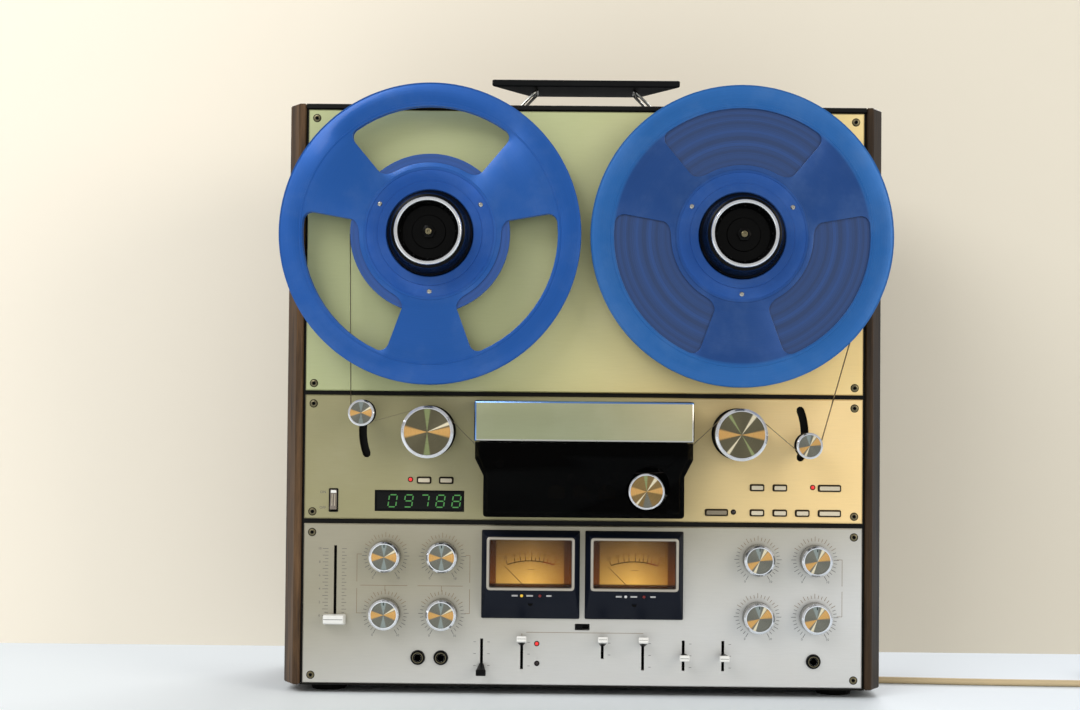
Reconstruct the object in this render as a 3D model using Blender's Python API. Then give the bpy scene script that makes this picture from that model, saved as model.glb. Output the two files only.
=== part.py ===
# Reel-to-reel tape deck for 10.5 inch reels, standing upright.
# Metres, +Z up, front towards -Y, origin on the table under the middle of the deck.
# "Out" is the distance in front of the control panels, so what lies behind them has a negative out.

import math

import bmesh
import bpy
from mathutils import Matrix, Vector

# Fits and cuts
GAP = 0.0003
OVERRUN = 0.002
MERGE = 0.000001
SINK = 0.0006

# Front panels, stacked from the bottom
PANEL_WIDTH = 0.4997
LOWER_HEIGHT = 0.1425
MIDDLE_HEIGHT = 0.1109
UPPER_HEIGHT = 0.2529
LOWER_SEAM = 0.0043
UPPER_SEAM = 0.0039
PANEL_THICKNESS = 0.0030
PANEL_BEVEL = 0.0009

# Cabinet, cheeks and feet
CABINET_SIDE = 0.00215
CABINET_DEPTH = 0.1850
FLOOR_WALL = 0.0012
ROOF_WALL = 0.0040
ROOF_SEAM = 0.0015
ROOF_CHAMFER = 0.0012
CHEEK_THICKNESS = 0.0162
CHEEK_FLAT = 0.0060
CHEEK_CHAMFER_DEPTH = 0.0170
CHEEK_EDGE = 0.0010
FOOT_ROOM = 0.0012
FOOT_TOP_RADIUS = 0.0180
FOOT_BOTTOM_RADIUS = 0.0152
FOOT_SIDE_INSET = 0.0045
FOOT_FRONT_INSET = 0.0150

# Rear cover with its connector bay
REAR_DEPTH = 0.0300
REAR_EDGE = 0.0020
BAY_WIDTH = 0.1700
BAY_HEIGHT = 0.0600
BAY_DEPTH = 0.0240
BAY_SIDE_INSET = 0.0270
BAY_FLOOR_INSET = 0.0300
VENT_LENGTH = 0.1500
VENT_HEIGHT = 0.0032
VENT_DEPTH = 0.0060
VENT_PITCH = 0.0090
VENT_ROWS = 9
VENT_TOP_INSET = 0.0300
SOCKET_RADIUS = 0.0042
SOCKET_LENGTH = 0.0085
SOCKET_PITCH = 0.0190
SOCKET_COLUMNS = 4
GLAND_ROOT_RADIUS = 0.0062
GLAND_TIP_RADIUS = 0.0044

# Reels, tape and hub adapters
REEL_RADIUS = 0.13335
REEL_SPACE = 0.0081
REEL_FLOOR_SPACE = 0.0057
REEL_BORE_RADIUS = 0.0381
REEL_HUB_RADIUS = 0.05715
FLANGE_THICKNESS = 0.0014
FLANGE_SPACE = 0.0070
REEL_OUT = 0.0241
WINDOW_COUNT = 3
WINDOW_ANGLE = math.radians(80)
WINDOW_RIM = 0.0207
WINDOW_HUB_RIM = 0.0055
LEFT_PACK_RADIUS = 0.0705
RIGHT_PACK_RADIUS = 0.1170
TURNTABLE_RADIUS = 0.0450
TURNTABLE_THICKNESS = 0.0098
SPINDLE_BOSS_RADIUS = 0.0180
SPINDLE_RADIUS = 0.0060
SPINDLE_DEPTH = 0.0220
ADAPTER_REACH = 0.0608
ADAPTER_RING_RADIUS = 0.0312
ADAPTER_RECESS_RADIUS = 0.0255
ADAPTER_RECESS_DEPTH = 0.0150
ADAPTER_NUT_RADIUS = 0.0090
ADAPTER_NUT_HEIGHT = 0.0090

# Tape rollers and tension arms
ROLLER_RADIUS = 0.0230
ROLLER_BODY_RADIUS = 0.0215
ROLLER_REACH = 0.0420
ROLLER_CAP = 0.0075
ROLLER_SHAFT_RADIUS = 0.0040
ROLLER_SHAFT_DEPTH = 0.0220
ARM_RADIUS = 0.0605
ARM_THICKNESS = 0.0050
ARM_HUB_RADIUS = 0.0095
ARM_END_RADIUS = 0.0055
POST_RADIUS = 0.0030
SMALL_ROLLER_RADIUS = 0.0115
SMALL_ROLLER_GROOVE = 0.0018
SMALL_ROLLER_OUT = 0.0210
SMALL_ROLLER_LENGTH = 0.0165
SLOT_CLEARANCE = 0.0006
ARM_TOP_ANGLE = math.radians(21.0)
ARM_BOTTOM_ANGLE = math.radians(20.0)
LEFT_ARM_REST = math.radians(15.5)
RIGHT_ARM_REST = math.radians(-8.7)

# Head housing, heads and hinged cover
NOSE_HALF_WIDTH = 0.0968
NOSE_HEIGHT = 0.0362
NOSE_TOP_INSET = 0.0035
NOSE_REACH = 0.0340
NOSE_BEVEL = 0.0019
COVER_HALF_WIDTH = 0.0957
COVER_FOOT_HALF_WIDTH = 0.0882
COVER_SHOULDER = 0.0145
COVER_SLANT = 0.0150
COVER_HEIGHT = 0.0658
COVER_WALL = 0.0022
COVER_BACK_OUT = 0.0050
COVER_CORNER = 0.0030
BASE_THICKNESS = 0.0037
HEAD_WIDTH = 0.0150
HEAD_HEIGHT = 0.0120
HEAD_PITCH = 0.0220
HEAD_DROP = 0.0375
HEAD_REACH = 0.0290
HEAD_CROWN = 0.0035
LAST_HEAD_X = 0.0200
GUIDE_RADIUS = 0.0025
GUIDE_REACH = 0.0300

# Capstan and pinch roller
PINCH_X = 0.0550
PINCH_DROP = 0.0425
PINCH_PIVOT_SIDE = 0.0235
PINCH_PIVOT_DROP = 0.0130
PINCH_RADIUS = 0.0150
PINCH_CAP_RADIUS = 0.0157
PINCH_OUT = 0.0082
PINCH_REACH = 0.0380
PINCH_CAP = 0.0090
PINCH_ARM_THICKNESS = 0.0034
PINCH_ARM_RADIUS = 0.0058
PINCH_PIN_RADIUS = 0.0022
PINCH_SWING = math.radians(11.0)
CAP_CLEARANCE = 0.0016
CAPSTAN_RADIUS = 0.0030
CAPSTAN_COLLAR_RADIUS = 0.0055
CAPSTAN_REACH = 0.0290

# Meters
METER_WIDTH = 0.0878
METER_HEIGHT = 0.0786
METER_SPACE = 0.0047
METER_TOP_INSET = 0.0043
METER_REACH = 0.0120
METER_STEP = 0.0016
METER_SIDE_SLOPE = 0.0042
METER_TOP_SLOPE = 0.0050
METER_CHIN = 0.0247
METER_WINDOW_WIDTH = 0.0730
METER_WINDOW_HEIGHT = 0.0420
METER_WINDOW_INSET = 0.0080
METER_DIAL_DEPTH = 0.0080
METER_NECK = 0.0026
CARRIER_THICKNESS = 0.0044
CARRIER_MARGIN = 0.0030
NEEDLE_LENGTH = 0.0330
NEEDLE_WIDTH = 0.0009
NEEDLE_THICKNESS = 0.0008
NEEDLE_HUB_RADIUS = 0.0022
NEEDLE_PIN_RADIUS = 0.0011
NEEDLE_PIN_LENGTH = 0.0040
NEEDLE_PIVOT_DROP = 0.0048
NEEDLE_FLOAT = 0.0024
NEEDLE_REST = math.radians(45.0)
LENS_SCREW_RADIUS = 0.0017
LENS_SCREW_DEPTH = 0.0020

# Counter window
COUNTER_WIDTH = 0.0803
COUNTER_HEIGHT = 0.0190
COUNTER_DEPTH = 0.0013

# Push buttons
BUTTON_HEIGHT = 0.0046
BUTTON_FRAME = 0.0007
BUTTON_NARROW = 0.0113
BUTTON_WIDE = 0.0190
BUTTON_REACH = 0.0026
BUTTON_BEVEL = 0.0005
BUTTON_TRAVEL = 0.0020
BUTTON_FLANGE = 0.0018
BUTTON_FLANGE_THICKNESS = 0.0014
BUTTON_STEM_RADIUS = 0.0016
BUTTON_STEM = 0.0060

# Mains rocker
ROCKER_WIDTH = 0.0058
ROCKER_HALF_HEIGHT = 0.0088
ROCKER_REACH = 0.0022
ROCKER_WAIST = 0.0010
ROCKER_DEPTH = 0.0080
ROCKER_ROOT_HALF_HEIGHT = 0.0050
ROCKER_AXIS_DEPTH = 0.0020
ROCKER_TILT = math.radians(8.0)
ROCKER_CLEARANCE = 0.0008

# Lever switches
LEVER_PIVOT_DEPTH = 0.0270
LEVER_BARREL_RADIUS = 0.0035
LEVER_BARREL_WIDTH = 0.0062
LEVER_STEM_WIDTH = 0.0020
LEVER_STEM_HEIGHT = 0.0048
LEVER_FLARE_OUT = 0.0030
LEVER_TIP_WIDTH = 0.0088
LEVER_TIP_HEIGHT = 0.0052
LEVER_REACH = 0.0185
LEVER_SWING = math.radians(20.0)

# Slide switch and fader
SLIDE_WIDTH = 0.0055
SLIDE_HEIGHT = 0.0036
SLIDE_REACH = 0.0016
SLIDE_TRAVEL = 0.0052
SLIDE_DEPTH = 0.0040
FADER_TRAVEL = 0.0600
FADER_STEM_WIDTH = 0.0020
FADER_STEM_HEIGHT = 0.0050
FADER_CAP_WIDTH = 0.0200
FADER_CAP_HEIGHT = 0.0094
FADER_CAP_OUT = 0.0015
FADER_REACH = 0.0135
FADER_CAP_TAPER = 0.0020
FADER_END_SPACE = 0.0030
FADER_SHOE_WIDTH = 0.0080
FADER_SHOE_DEPTH = 0.0060

# Rotary knobs and front sockets
KNOB_RADIUS = 0.0136
KNOB_FACE_RADIUS = 0.0122
KNOB_REACH = 0.0165
KNOB_CHAMFER = 0.0016
KNOB_LIFT = 0.0008
KNOB_SHAFT_RADIUS = 0.0030
KNOB_SHAFT_DEPTH = 0.0120
JACK_RADIUS = 0.0061
JACK_BORE_RADIUS = 0.0033
JACK_REACH = 0.0026
JACK_DEPTH = 0.0330

# Handle on the roof
GRIP_WIDTH = 0.1730
GRIP_REAR_WIDTH = 0.1040
GRIP_DEPTH = 0.0570
GRIP_THICKNESS = 0.0063
GRIP_LIFT = 0.0222
GRIP_FRONT = 0.0300
GRIP_BEVEL = 0.0012
WIRE_RADIUS = 0.0013
WIRE_INSET = 0.0100
WIRE_LOOP = 0.0260
WIRE_TOP_X = 0.0450
WIRE_FOOT_X = 0.0622
WIRE_BEND = 0.0050

# Mains lead: free stretch, coil and plug
CORD_RADIUS = 0.0031
CORD_CLEARANCE = 0.0001
CORD_STEP = 0.0150
CORD_BEND = 0.0300
CORD_LEAN = 0.0110
CORD_DRIFT = 0.0115
CORD_CROSS_SHARE = 0.770
CORD_RUN_SHARES = ((0.08, 0.00), (0.24, 0.17), (0.37, 0.42), (0.51, 0.72), (0.65, 0.86), (0.80, 0.95), (0.91, 0.99))
COIL_X = 0.5380
COIL_INNER_RADIUS = 0.0280
COIL_PITCH = 0.0076
COIL_LIFT = 0.0070
COIL_LAYER_TURNS = 2.375
COIL_CLIMB_TURNS = 0.5
COIL_POINTS = 24
TAIL_LENGTH = 0.0460
PLUG_LENGTH = 0.0350
PLUG_WIDTH = 0.0350
PLUG_NECK_WIDTH = 0.0140
PLUG_HEIGHT = 0.0137
PLUG_PIN_RADIUS = 0.0020
PLUG_PIN_LENGTH = 0.0190
PLUG_PIN_PITCH = 0.0186

# Counts of facets
FINE = 48
ROUND = 32
SMALL_ROUND = 20
SHAFT_ROUND = 12

# Levels and places worked out from the sizes above
SEAT = PANEL_THICKNESS + GAP
FOOT_HEIGHT = 2 * CORD_RADIUS + CORD_CLEARANCE + FOOT_ROOM
FLOOR_Z = FOOT_HEIGHT
LOWER_Z = FLOOR_Z + FLOOR_WALL + GAP
MIDDLE_Z = LOWER_Z + LOWER_HEIGHT + LOWER_SEAM
UPPER_Z = MIDDLE_Z + MIDDLE_HEIGHT + UPPER_SEAM
PANEL_TOP = UPPER_Z + UPPER_HEIGHT
ROOF_Z = PANEL_TOP + ROOF_SEAM + ROOF_WALL
HALF_PANEL = PANEL_WIDTH / 2
HALF_CABINET = HALF_PANEL + CABINET_SIDE
PANEL_Y = (ADAPTER_REACH - CABINET_DEPTH) / 2
REEL_X = REEL_RADIUS + REEL_SPACE / 2
REEL_Z = UPPER_Z + REEL_FLOOR_SPACE + REEL_RADIUS
REEL_FRONT = REEL_OUT + 2 * FLANGE_THICKNESS + FLANGE_SPACE
NOSE_TOP = MIDDLE_Z + MIDDLE_HEIGHT - NOSE_TOP_INSET
NOSE_BOTTOM = NOSE_TOP - NOSE_HEIGHT
COVER_TOP = NOSE_BOTTOM - GAP
COVER_BOTTOM = COVER_TOP - COVER_HEIGHT
HEAD_Z = NOSE_BOTTOM - HEAD_DROP
PINCH_Z = NOSE_BOTTOM - PINCH_DROP
PINCH_PIVOT = Vector((PINCH_X + PINCH_PIVOT_SIDE, 0, PINCH_Z - PINCH_PIVOT_DROP))
METER_X = (METER_SPACE + METER_WIDTH) / 2
METER_TOP = LOWER_Z + LOWER_HEIGHT - METER_TOP_INSET
METER_BOTTOM = METER_TOP - METER_HEIGHT
WINDOW_TOP = METER_TOP - METER_WINDOW_INSET
WINDOW_BOTTOM = WINDOW_TOP - METER_WINDOW_HEIGHT
NEEDLE_Z = WINDOW_BOTTOM - NEEDLE_PIVOT_DROP

# Places on the panels, as shares of the panel's width from its middle and of its own height
ROLLER_SHARE = 0.714
POWER_SHARES = (-0.4473, 0.150)
COUNTER_SHARES = (-0.2932, 0.150)
BUTTON_SHARES = {
    "reset_button": (-0.2852, 0.3175, "narrow"),
    "search_button": (-0.2454, 0.3175, "narrow"),
    "rewind_button": (0.3114, 0.2825, "narrow"),
    "forward_button": (0.3522, 0.2825, "narrow"),
    "record_button": (0.4409, 0.2825, "wide"),
    "pause_button": (0.2390, 0.0800, "wide"),
    "back_button": (0.3114, 0.0800, "narrow"),
    "wind_button": (0.3522, 0.0800, "narrow"),
    "play_button": (0.3924, 0.0800, "narrow"),
    "stop_button": (0.4409, 0.0800, "wide"),
}
KNOB_COLUMN_SHARES = {"left": (-0.3528, -0.2508), "right": (0.3138, 0.4158)}
KNOB_ROW_SHARES = (0.8000, 0.4415)
LEVER_HEIGHT_SHARE = 0.1940
LEVER_SHARES = {
    "input_lever": (-0.1791, -1.0, -1.0, 1.0),
    "monitor_lever": (-0.1073, 1.0, -1.0, 1.0),
    "sync_lever": (0.0368, 1.0, 0.0, 1.0),
    "speed_lever": (0.1091, 1.0, -1.0, 1.0),
    "equaliser_lever": (0.1815, 0.0, -1.0, 1.0),
    "bias_lever": (0.2522, 0.0, -1.0, 1.0),
}
SLIDE_SHARES = (0.0006, 0.3670)
FADER_SHARES = (-0.4426, 0.4010)
JACK_SHARES = ((-0.2932, 0.1660), (-0.2520, 0.1660), (0.4136, 0.1660))

FINISHES = {
    "panel": ((0.66, 0.66, 0.62), 0.34, 0.85),
    "aluminium": ((0.72, 0.71, 0.69), 0.26, 0.95),
    "steel": ((0.60, 0.60, 0.58), 0.22, 1.00),
    "black": ((0.018, 0.018, 0.020), 0.45, 0.0),
    "smoked": ((0.012, 0.012, 0.013), 0.12, 0.0),
    "wood": ((0.070, 0.040, 0.022), 0.38, 0.0),
    "blue": ((0.018, 0.100, 0.400), 0.30, 0.60),
    "tape": ((0.045, 0.030, 0.024), 0.32, 0.0),
    "rubber": ((0.020, 0.020, 0.020), 0.75, 0.0),
    "meter": ((0.020, 0.023, 0.035), 0.40, 0.0),
    "white": ((0.78, 0.78, 0.75), 0.40, 0.0),
    "beige": ((0.55, 0.44, 0.30), 0.50, 0.0),
}


def finish(node, kind):
    colour, roughness, metallic = FINISHES[kind]
    material = bpy.data.materials.new(node)
    material.use_nodes = True
    shader = material.node_tree.nodes["Principled BSDF"]
    shader.inputs["Base Color"].default_value = (*colour, 1.0)
    shader.inputs["Roughness"].default_value = roughness
    shader.inputs["Metallic"].default_value = metallic
    material.diffuse_color = (*colour, 1.0)
    return material


def place(name, bm, kind=None, pivot=(0, 0, 0), turn=(0, 0, 0)):
    """Turn a shape drawn in the panel's frame into an object with its origin on the pivot."""
    bmesh.ops.translate(bm, vec=-Vector(pivot), verts=bm.verts)
    bmesh.ops.recalc_face_normals(bm, faces=bm.faces)
    mesh = bpy.data.meshes.new(name)
    bm.to_mesh(mesh)
    bm.free()
    thing = bpy.data.objects.new(name, mesh)
    bpy.context.scene.collection.objects.link(thing)
    thing.location = Vector(pivot) + Vector((0, PANEL_Y, 0))
    thing.rotation_euler = turn
    if kind:
        mesh.materials.append(finish(name, kind))
    else:
        thing.hide_render = True
        thing.display_type = "WIRE"
    return thing


def smooth(thing):
    thing.data.shade_smooth()
    thing.data.set_sharp_from_angle(angle=math.radians(30))
    return thing


def combine(thing, bm, operation, **placing):
    """Join or cut an object with a shape, which stays behind as a hidden guide."""
    tool = place(f"{thing.name}_{operation.lower()}_guide", bm, **placing)
    modifier = thing.modifiers.new(tool.name, "BOOLEAN")
    modifier.operation = operation
    modifier.solver = "EXACT"
    modifier.object = tool


def cut(thing, bm, **placing):
    combine(thing, bm, "DIFFERENCE", **placing)


def join(thing, bm, **placing):
    combine(thing, bm, "UNION", **placing)


def circle(x, z, radius, count):
    turns = [2 * math.pi * step / count for step in range(count)]
    return [(x + radius * math.cos(turn), z + radius * math.sin(turn)) for turn in turns]


def arc(x, z, radius, start, end, count):
    turns = [start + (end - start) * step / (count - 1) for step in range(count)]
    return [(x + radius * math.cos(turn), z + radius * math.sin(turn)) for turn in turns]


def rectangle(x, z, width, height):
    return [(x - width / 2, z - height / 2), (x + width / 2, z - height / 2),
            (x + width / 2, z + height / 2), (x - width / 2, z + height / 2)]


def rounded(x, z, width, height, radius, count=4):
    corners = [(1, 1, 0), (-1, 1, 1), (-1, -1, 2), (1, -1, 3)]
    points = []
    for side, rise, quarter in corners:
        start = quarter * math.pi / 2
        points += arc(x + side * (width / 2 - radius), z + rise * (height / 2 - radius), radius,
                      start, start + math.pi / 2, count)
    return points


def link_outline(first, last, first_radius, last_radius, count=9):
    """Outline of a bar with round ends, drawn around two points given as (x, z)."""
    along = math.atan2(last[1] - first[1], last[0] - first[0])
    quarter = math.pi / 2
    return (arc(last[0], last[1], last_radius, along - quarter, along + quarter, count)
            + arc(first[0], first[1], first_radius, along + quarter, along + 3 * quarter, count))


def add_prism(bm, outline, back, front, bevel=0.0, segments=1):
    """Extrude an (x, z) outline from one out to another; the bevel runs round its front rim."""
    face = bm.faces.new([bm.verts.new((x, -back, z)) for x, z in outline])
    made = bmesh.ops.extrude_face_region(bm, geom=[face])["geom"]
    verts = [part for part in made if isinstance(part, bmesh.types.BMVert)]
    bmesh.ops.translate(bm, vec=(0, back - front, 0), verts=verts)
    if bevel:
        rim = [part for part in made if isinstance(part, bmesh.types.BMEdge)]
        bmesh.ops.bevel(bm, geom=rim, offset=bevel, segments=segments, profile=0.5, affect="EDGES")


def add_bar(bm, outline, left, right):
    """Extrude an (out, z) outline from left to right."""
    face = bm.faces.new([bm.verts.new((left, -out, z)) for out, z in outline])
    made = bmesh.ops.extrude_face_region(bm, geom=[face])["geom"]
    verts = [part for part in made if isinstance(part, bmesh.types.BMVert)]
    bmesh.ops.translate(bm, vec=(right - left, 0, 0), verts=verts)


def add_turned(bm, profile, x, z, steps, closed=False):
    """Spin a profile of (radius, out) about the axis through x and z that points out."""
    own = bmesh.new()
    verts = [own.verts.new((radius, -out, 0)) for radius, out in profile]
    edges = [own.edges.new(pair) for pair in zip(verts, verts[1:])]
    if closed:
        edges.append(own.edges.new((verts[-1], verts[0])))
    bmesh.ops.spin(own, geom=verts + edges, cent=(0, 0, 0), axis=(0, 1, 0),
                   angle=2 * math.pi, steps=steps, use_merge=True)
    bmesh.ops.remove_doubles(own, verts=own.verts, dist=MERGE)
    bmesh.ops.recalc_face_normals(own, faces=own.faces)
    bmesh.ops.translate(own, vec=(x, 0, z), verts=own.verts)
    mesh = bpy.data.meshes.new("turned")
    own.to_mesh(mesh)
    own.free()
    bm.from_mesh(mesh)
    bpy.data.meshes.remove(mesh)


def add_loft(bm, sections):
    """Skin between cross-sections, each a closed list of points in the panel's frame."""
    loops = [[bm.verts.new(point) for point in section] for section in sections]
    bm.faces.new(loops[0])
    bm.faces.new(loops[-1])
    for near, far in zip(loops, loops[1:]):
        count = len(near)
        for step in range(count):
            after = (step + 1) % count
            bm.faces.new((near[step], near[after], far[after], far[step]))


def section(out, outline):
    return [(x, -out, z) for x, z in outline]


def panel_place(shares, floor, height):
    return shares[0] * PANEL_WIDTH, floor + shares[1] * height


def middle_place(shares):
    return panel_place(shares, MIDDLE_Z, MIDDLE_HEIGHT)


def lower_place(shares):
    return panel_place(shares, LOWER_Z, LOWER_HEIGHT)


ROLLER_X = REEL_X
ROLLER_Z = MIDDLE_Z + ROLLER_SHARE * MIDDLE_HEIGHT
LEVER_Z = LOWER_Z + LEVER_HEIGHT_SHARE * LOWER_HEIGHT
SIDES = {"left": -1, "right": 1}


# Cabinet

def make_cabinet():
    bm = bmesh.new()
    rear = -(CABINET_DEPTH - REAR_DEPTH - GAP)
    add_bar(bm, [(0, FLOOR_Z), (0, FLOOR_Z + FLOOR_WALL), (-SEAT, FLOOR_Z + FLOOR_WALL),
                 (-SEAT, ROOF_Z - ROOF_WALL), (0, ROOF_Z - ROOF_WALL), (0, ROOF_Z - ROOF_CHAMFER),
                 (-ROOF_CHAMFER, ROOF_Z), (rear, ROOF_Z), (rear, FLOOR_Z)],
            -HALF_CABINET, HALF_CABINET)
    cabinet = place("cabinet_body", bm, "black")

    feet = bmesh.new()
    foot_x = HALF_CABINET - FOOT_SIDE_INSET - FOOT_TOP_RADIUS
    for side in SIDES.values():
        for depth in foot_rows():
            centre = Matrix.Translation((side * foot_x, depth, (FOOT_HEIGHT + SINK) / 2))
            bmesh.ops.create_cone(feet, cap_ends=True, segments=SMALL_ROUND, radius1=FOOT_BOTTOM_RADIUS,
                                  radius2=FOOT_TOP_RADIUS, depth=FOOT_HEIGHT + SINK, matrix=centre)
    join(cabinet, feet)

    mouth = -SEAT + OVERRUN
    pockets = bmesh.new()
    for side in SIDES.values():
        add_prism(pockets, arm_pocket(side), -(SEAT + ARM_THICKNESS + 2 * GAP), mouth)
        add_prism(pockets, circle(side * REEL_X, REEL_Z, SPINDLE_RADIUS + GAP, SHAFT_ROUND),
                  -(SPINDLE_DEPTH + GAP), mouth)
    for shares in BUTTON_SHARES.values():
        x, z = middle_place(shares)
        size = 2 * (BUTTON_FLANGE + GAP)
        depth = SEAT + BUTTON_FLANGE_THICKNESS + BUTTON_STEM + BUTTON_TRAVEL + GAP
        add_prism(pockets, rectangle(x, z, button_width(shares) + size, BUTTON_HEIGHT + size),
                  -depth, mouth)
    x, z = middle_place(POWER_SHARES)
    add_prism(pockets, rectangle(x, z, ROCKER_WIDTH + 2 * GAP, 2 * (ROCKER_HALF_HEIGHT + ROCKER_CLEARANCE)),
              -(ROCKER_DEPTH + ROCKER_AXIS_DEPTH), mouth)
    for x, z in knob_places().values():
        add_prism(pockets, circle(x, z, KNOB_SHAFT_RADIUS + GAP, SHAFT_ROUND),
                  -(KNOB_SHAFT_DEPTH + GAP), mouth)
    for shares in JACK_SHARES:
        x, z = lower_place(shares)
        add_prism(pockets, circle(x, z, JACK_BORE_RADIUS, SHAFT_ROUND), -JACK_DEPTH, mouth)
    for shares in LEVER_SHARES.values():
        reach = lever_offset(1.0) + LEVER_STEM_HEIGHT
        add_prism(pockets, rectangle(shares[0] * PANEL_WIDTH, LEVER_Z, LEVER_BARREL_WIDTH + 2 * GAP, 2 * reach),
                  -(LEVER_PIVOT_DEPTH + math.hypot(LEVER_BARREL_RADIUS, LEVER_BARREL_RADIUS / 2) + GAP), mouth)
    x, z = lower_place(SLIDE_SHARES)
    add_prism(pockets, rectangle(x, z, 2 * SLIDE_WIDTH + SLIDE_TRAVEL + 2 * GAP, SLIDE_HEIGHT + 2 * SLIDE_REACH + 2 * GAP),
              -(SEAT + SLIDE_DEPTH + GAP), mouth)
    x, low, high = fader_slot()
    add_prism(pockets, rectangle(x, (low + high) / 2, FADER_SHOE_WIDTH + 2 * GAP, high - low + FADER_SHOE_WIDTH),
              -(SEAT + FADER_SHOE_DEPTH + GAP), mouth)
    width, low, high = carrier_box()
    add_prism(pockets, rectangle(0, (low + high) / 2, width + 2 * GAP, high - low + 2 * GAP),
              -(SEAT + CARRIER_THICKNESS + GAP), mouth)
    cut(cabinet, pockets)

    bores = bmesh.new()
    for side in SIDES.values():
        add_prism(bores, circle(side * ROLLER_X, ROLLER_Z, ROLLER_SHAFT_RADIUS + GAP, SHAFT_ROUND),
                  -(ROLLER_SHAFT_DEPTH + GAP), mouth)
    capstan = capstan_place()
    add_prism(bores, circle(capstan.x, capstan.z, CAPSTAN_RADIUS + GAP, SHAFT_ROUND),
              -(ROLLER_SHAFT_DEPTH + GAP), mouth)
    cut(cabinet, bores)


def foot_rows():
    inset = FOOT_FRONT_INSET + FOOT_TOP_RADIUS
    return inset, CABINET_DEPTH - REAR_DEPTH - inset


def make_cheeks():
    inner = HALF_CABINET + GAP
    outer = inner + CHEEK_THICKNESS
    depth = CABINET_DEPTH
    for name, side in SIDES.items():
        outline = [(side * inner, 0), (side * (inner + CHEEK_FLAT), 0),
                   (side * outer, CHEEK_CHAMFER_DEPTH), (side * outer, depth), (side * inner, depth)]
        bm = bmesh.new()
        face = bm.faces.new([bm.verts.new((x, y, FLOOR_Z)) for x, y in outline])
        made = bmesh.ops.extrude_face_region(bm, geom=[face])["geom"]
        verts = [part for part in made if isinstance(part, bmesh.types.BMVert)]
        bmesh.ops.translate(bm, vec=(0, 0, ROOF_Z - FLOOR_Z), verts=verts)
        bmesh.ops.bevel(bm, geom=bm.edges[:], offset=CHEEK_EDGE, segments=1, profile=0.5, affect="EDGES")
        place(f"{name}_cheek", bm, "wood")


def make_rear_cover():
    back = -CABINET_DEPTH
    front = back + REAR_DEPTH
    bm = bmesh.new()
    height = ROOF_Z - FLOOR_Z
    middle = FLOOR_Z + height / 2
    face = bm.faces.new([bm.verts.new((x, -front, z))
                         for x, z in rectangle(0, middle, 2 * HALF_CABINET, height)])
    made = bmesh.ops.extrude_face_region(bm, geom=[face])["geom"]
    verts = [part for part in made if isinstance(part, bmesh.types.BMVert)]
    rim = [part for part in made if isinstance(part, bmesh.types.BMEdge)]
    bmesh.ops.translate(bm, vec=(0, REAR_DEPTH, 0), verts=verts)
    bmesh.ops.bevel(bm, geom=rim, offset=REAR_EDGE, segments=2, profile=0.5, affect="EDGES")
    cover = place("rear_cover", bm, "black")

    hollows = bmesh.new()
    bay_x, bay_z = bay_place()
    floor = back + BAY_DEPTH
    add_prism(hollows, rectangle(bay_x, bay_z, BAY_WIDTH, BAY_HEIGHT), back - OVERRUN, floor)
    for side in SIDES.values():
        for row in range(VENT_ROWS):
            z = ROOF_Z - VENT_TOP_INSET - row * VENT_PITCH
            add_prism(hollows, rectangle(side * HALF_CABINET / 2, z, VENT_LENGTH, VENT_HEIGHT),
                      back - OVERRUN, back + VENT_DEPTH)
    cut(cover, hollows)

    fittings = bmesh.new()
    root = floor + SINK
    gland_x, gland_z = gland_place()
    add_turned(fittings, [(0, root), (GLAND_ROOT_RADIUS, root), (GLAND_ROOT_RADIUS, floor - GLAND_ROOT_RADIUS / 2),
                          (GLAND_TIP_RADIUS, back), (0, back)], gland_x, gland_z, SHAFT_ROUND)
    for column in range(SOCKET_COLUMNS):
        for row in (-1, 1):
            x = bay_x - BAY_WIDTH / 2 + SOCKET_PITCH * (column + 1)
            z = bay_z + row * SOCKET_PITCH / 2
            add_prism(fittings, circle(x, z, SOCKET_RADIUS, SHAFT_ROUND), floor - SOCKET_LENGTH, root)
    join(cover, fittings)


def bay_place():
    x = HALF_CABINET - BAY_SIDE_INSET - BAY_WIDTH / 2
    z = FLOOR_Z + BAY_FLOOR_INSET + BAY_HEIGHT / 2
    return x, z


def gland_place():
    bay_x, bay_z = bay_place()
    return bay_x + BAY_WIDTH / 2 - BAY_HEIGHT, bay_z - BAY_HEIGHT / 6


# Panels

def make_upper_panel():
    bm = bmesh.new()
    add_prism(bm, rectangle(0, UPPER_Z + UPPER_HEIGHT / 2, PANEL_WIDTH, UPPER_HEIGHT),
              -PANEL_THICKNESS, 0, PANEL_BEVEL)
    panel = place("upper_panel", bm, "panel")
    holes = bmesh.new()
    for side in SIDES.values():
        add_prism(holes, circle(side * REEL_X, REEL_Z, SPINDLE_RADIUS + GAP, SHAFT_ROUND),
                  -PANEL_THICKNESS - OVERRUN, OVERRUN)
    cut(panel, holes)


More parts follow.
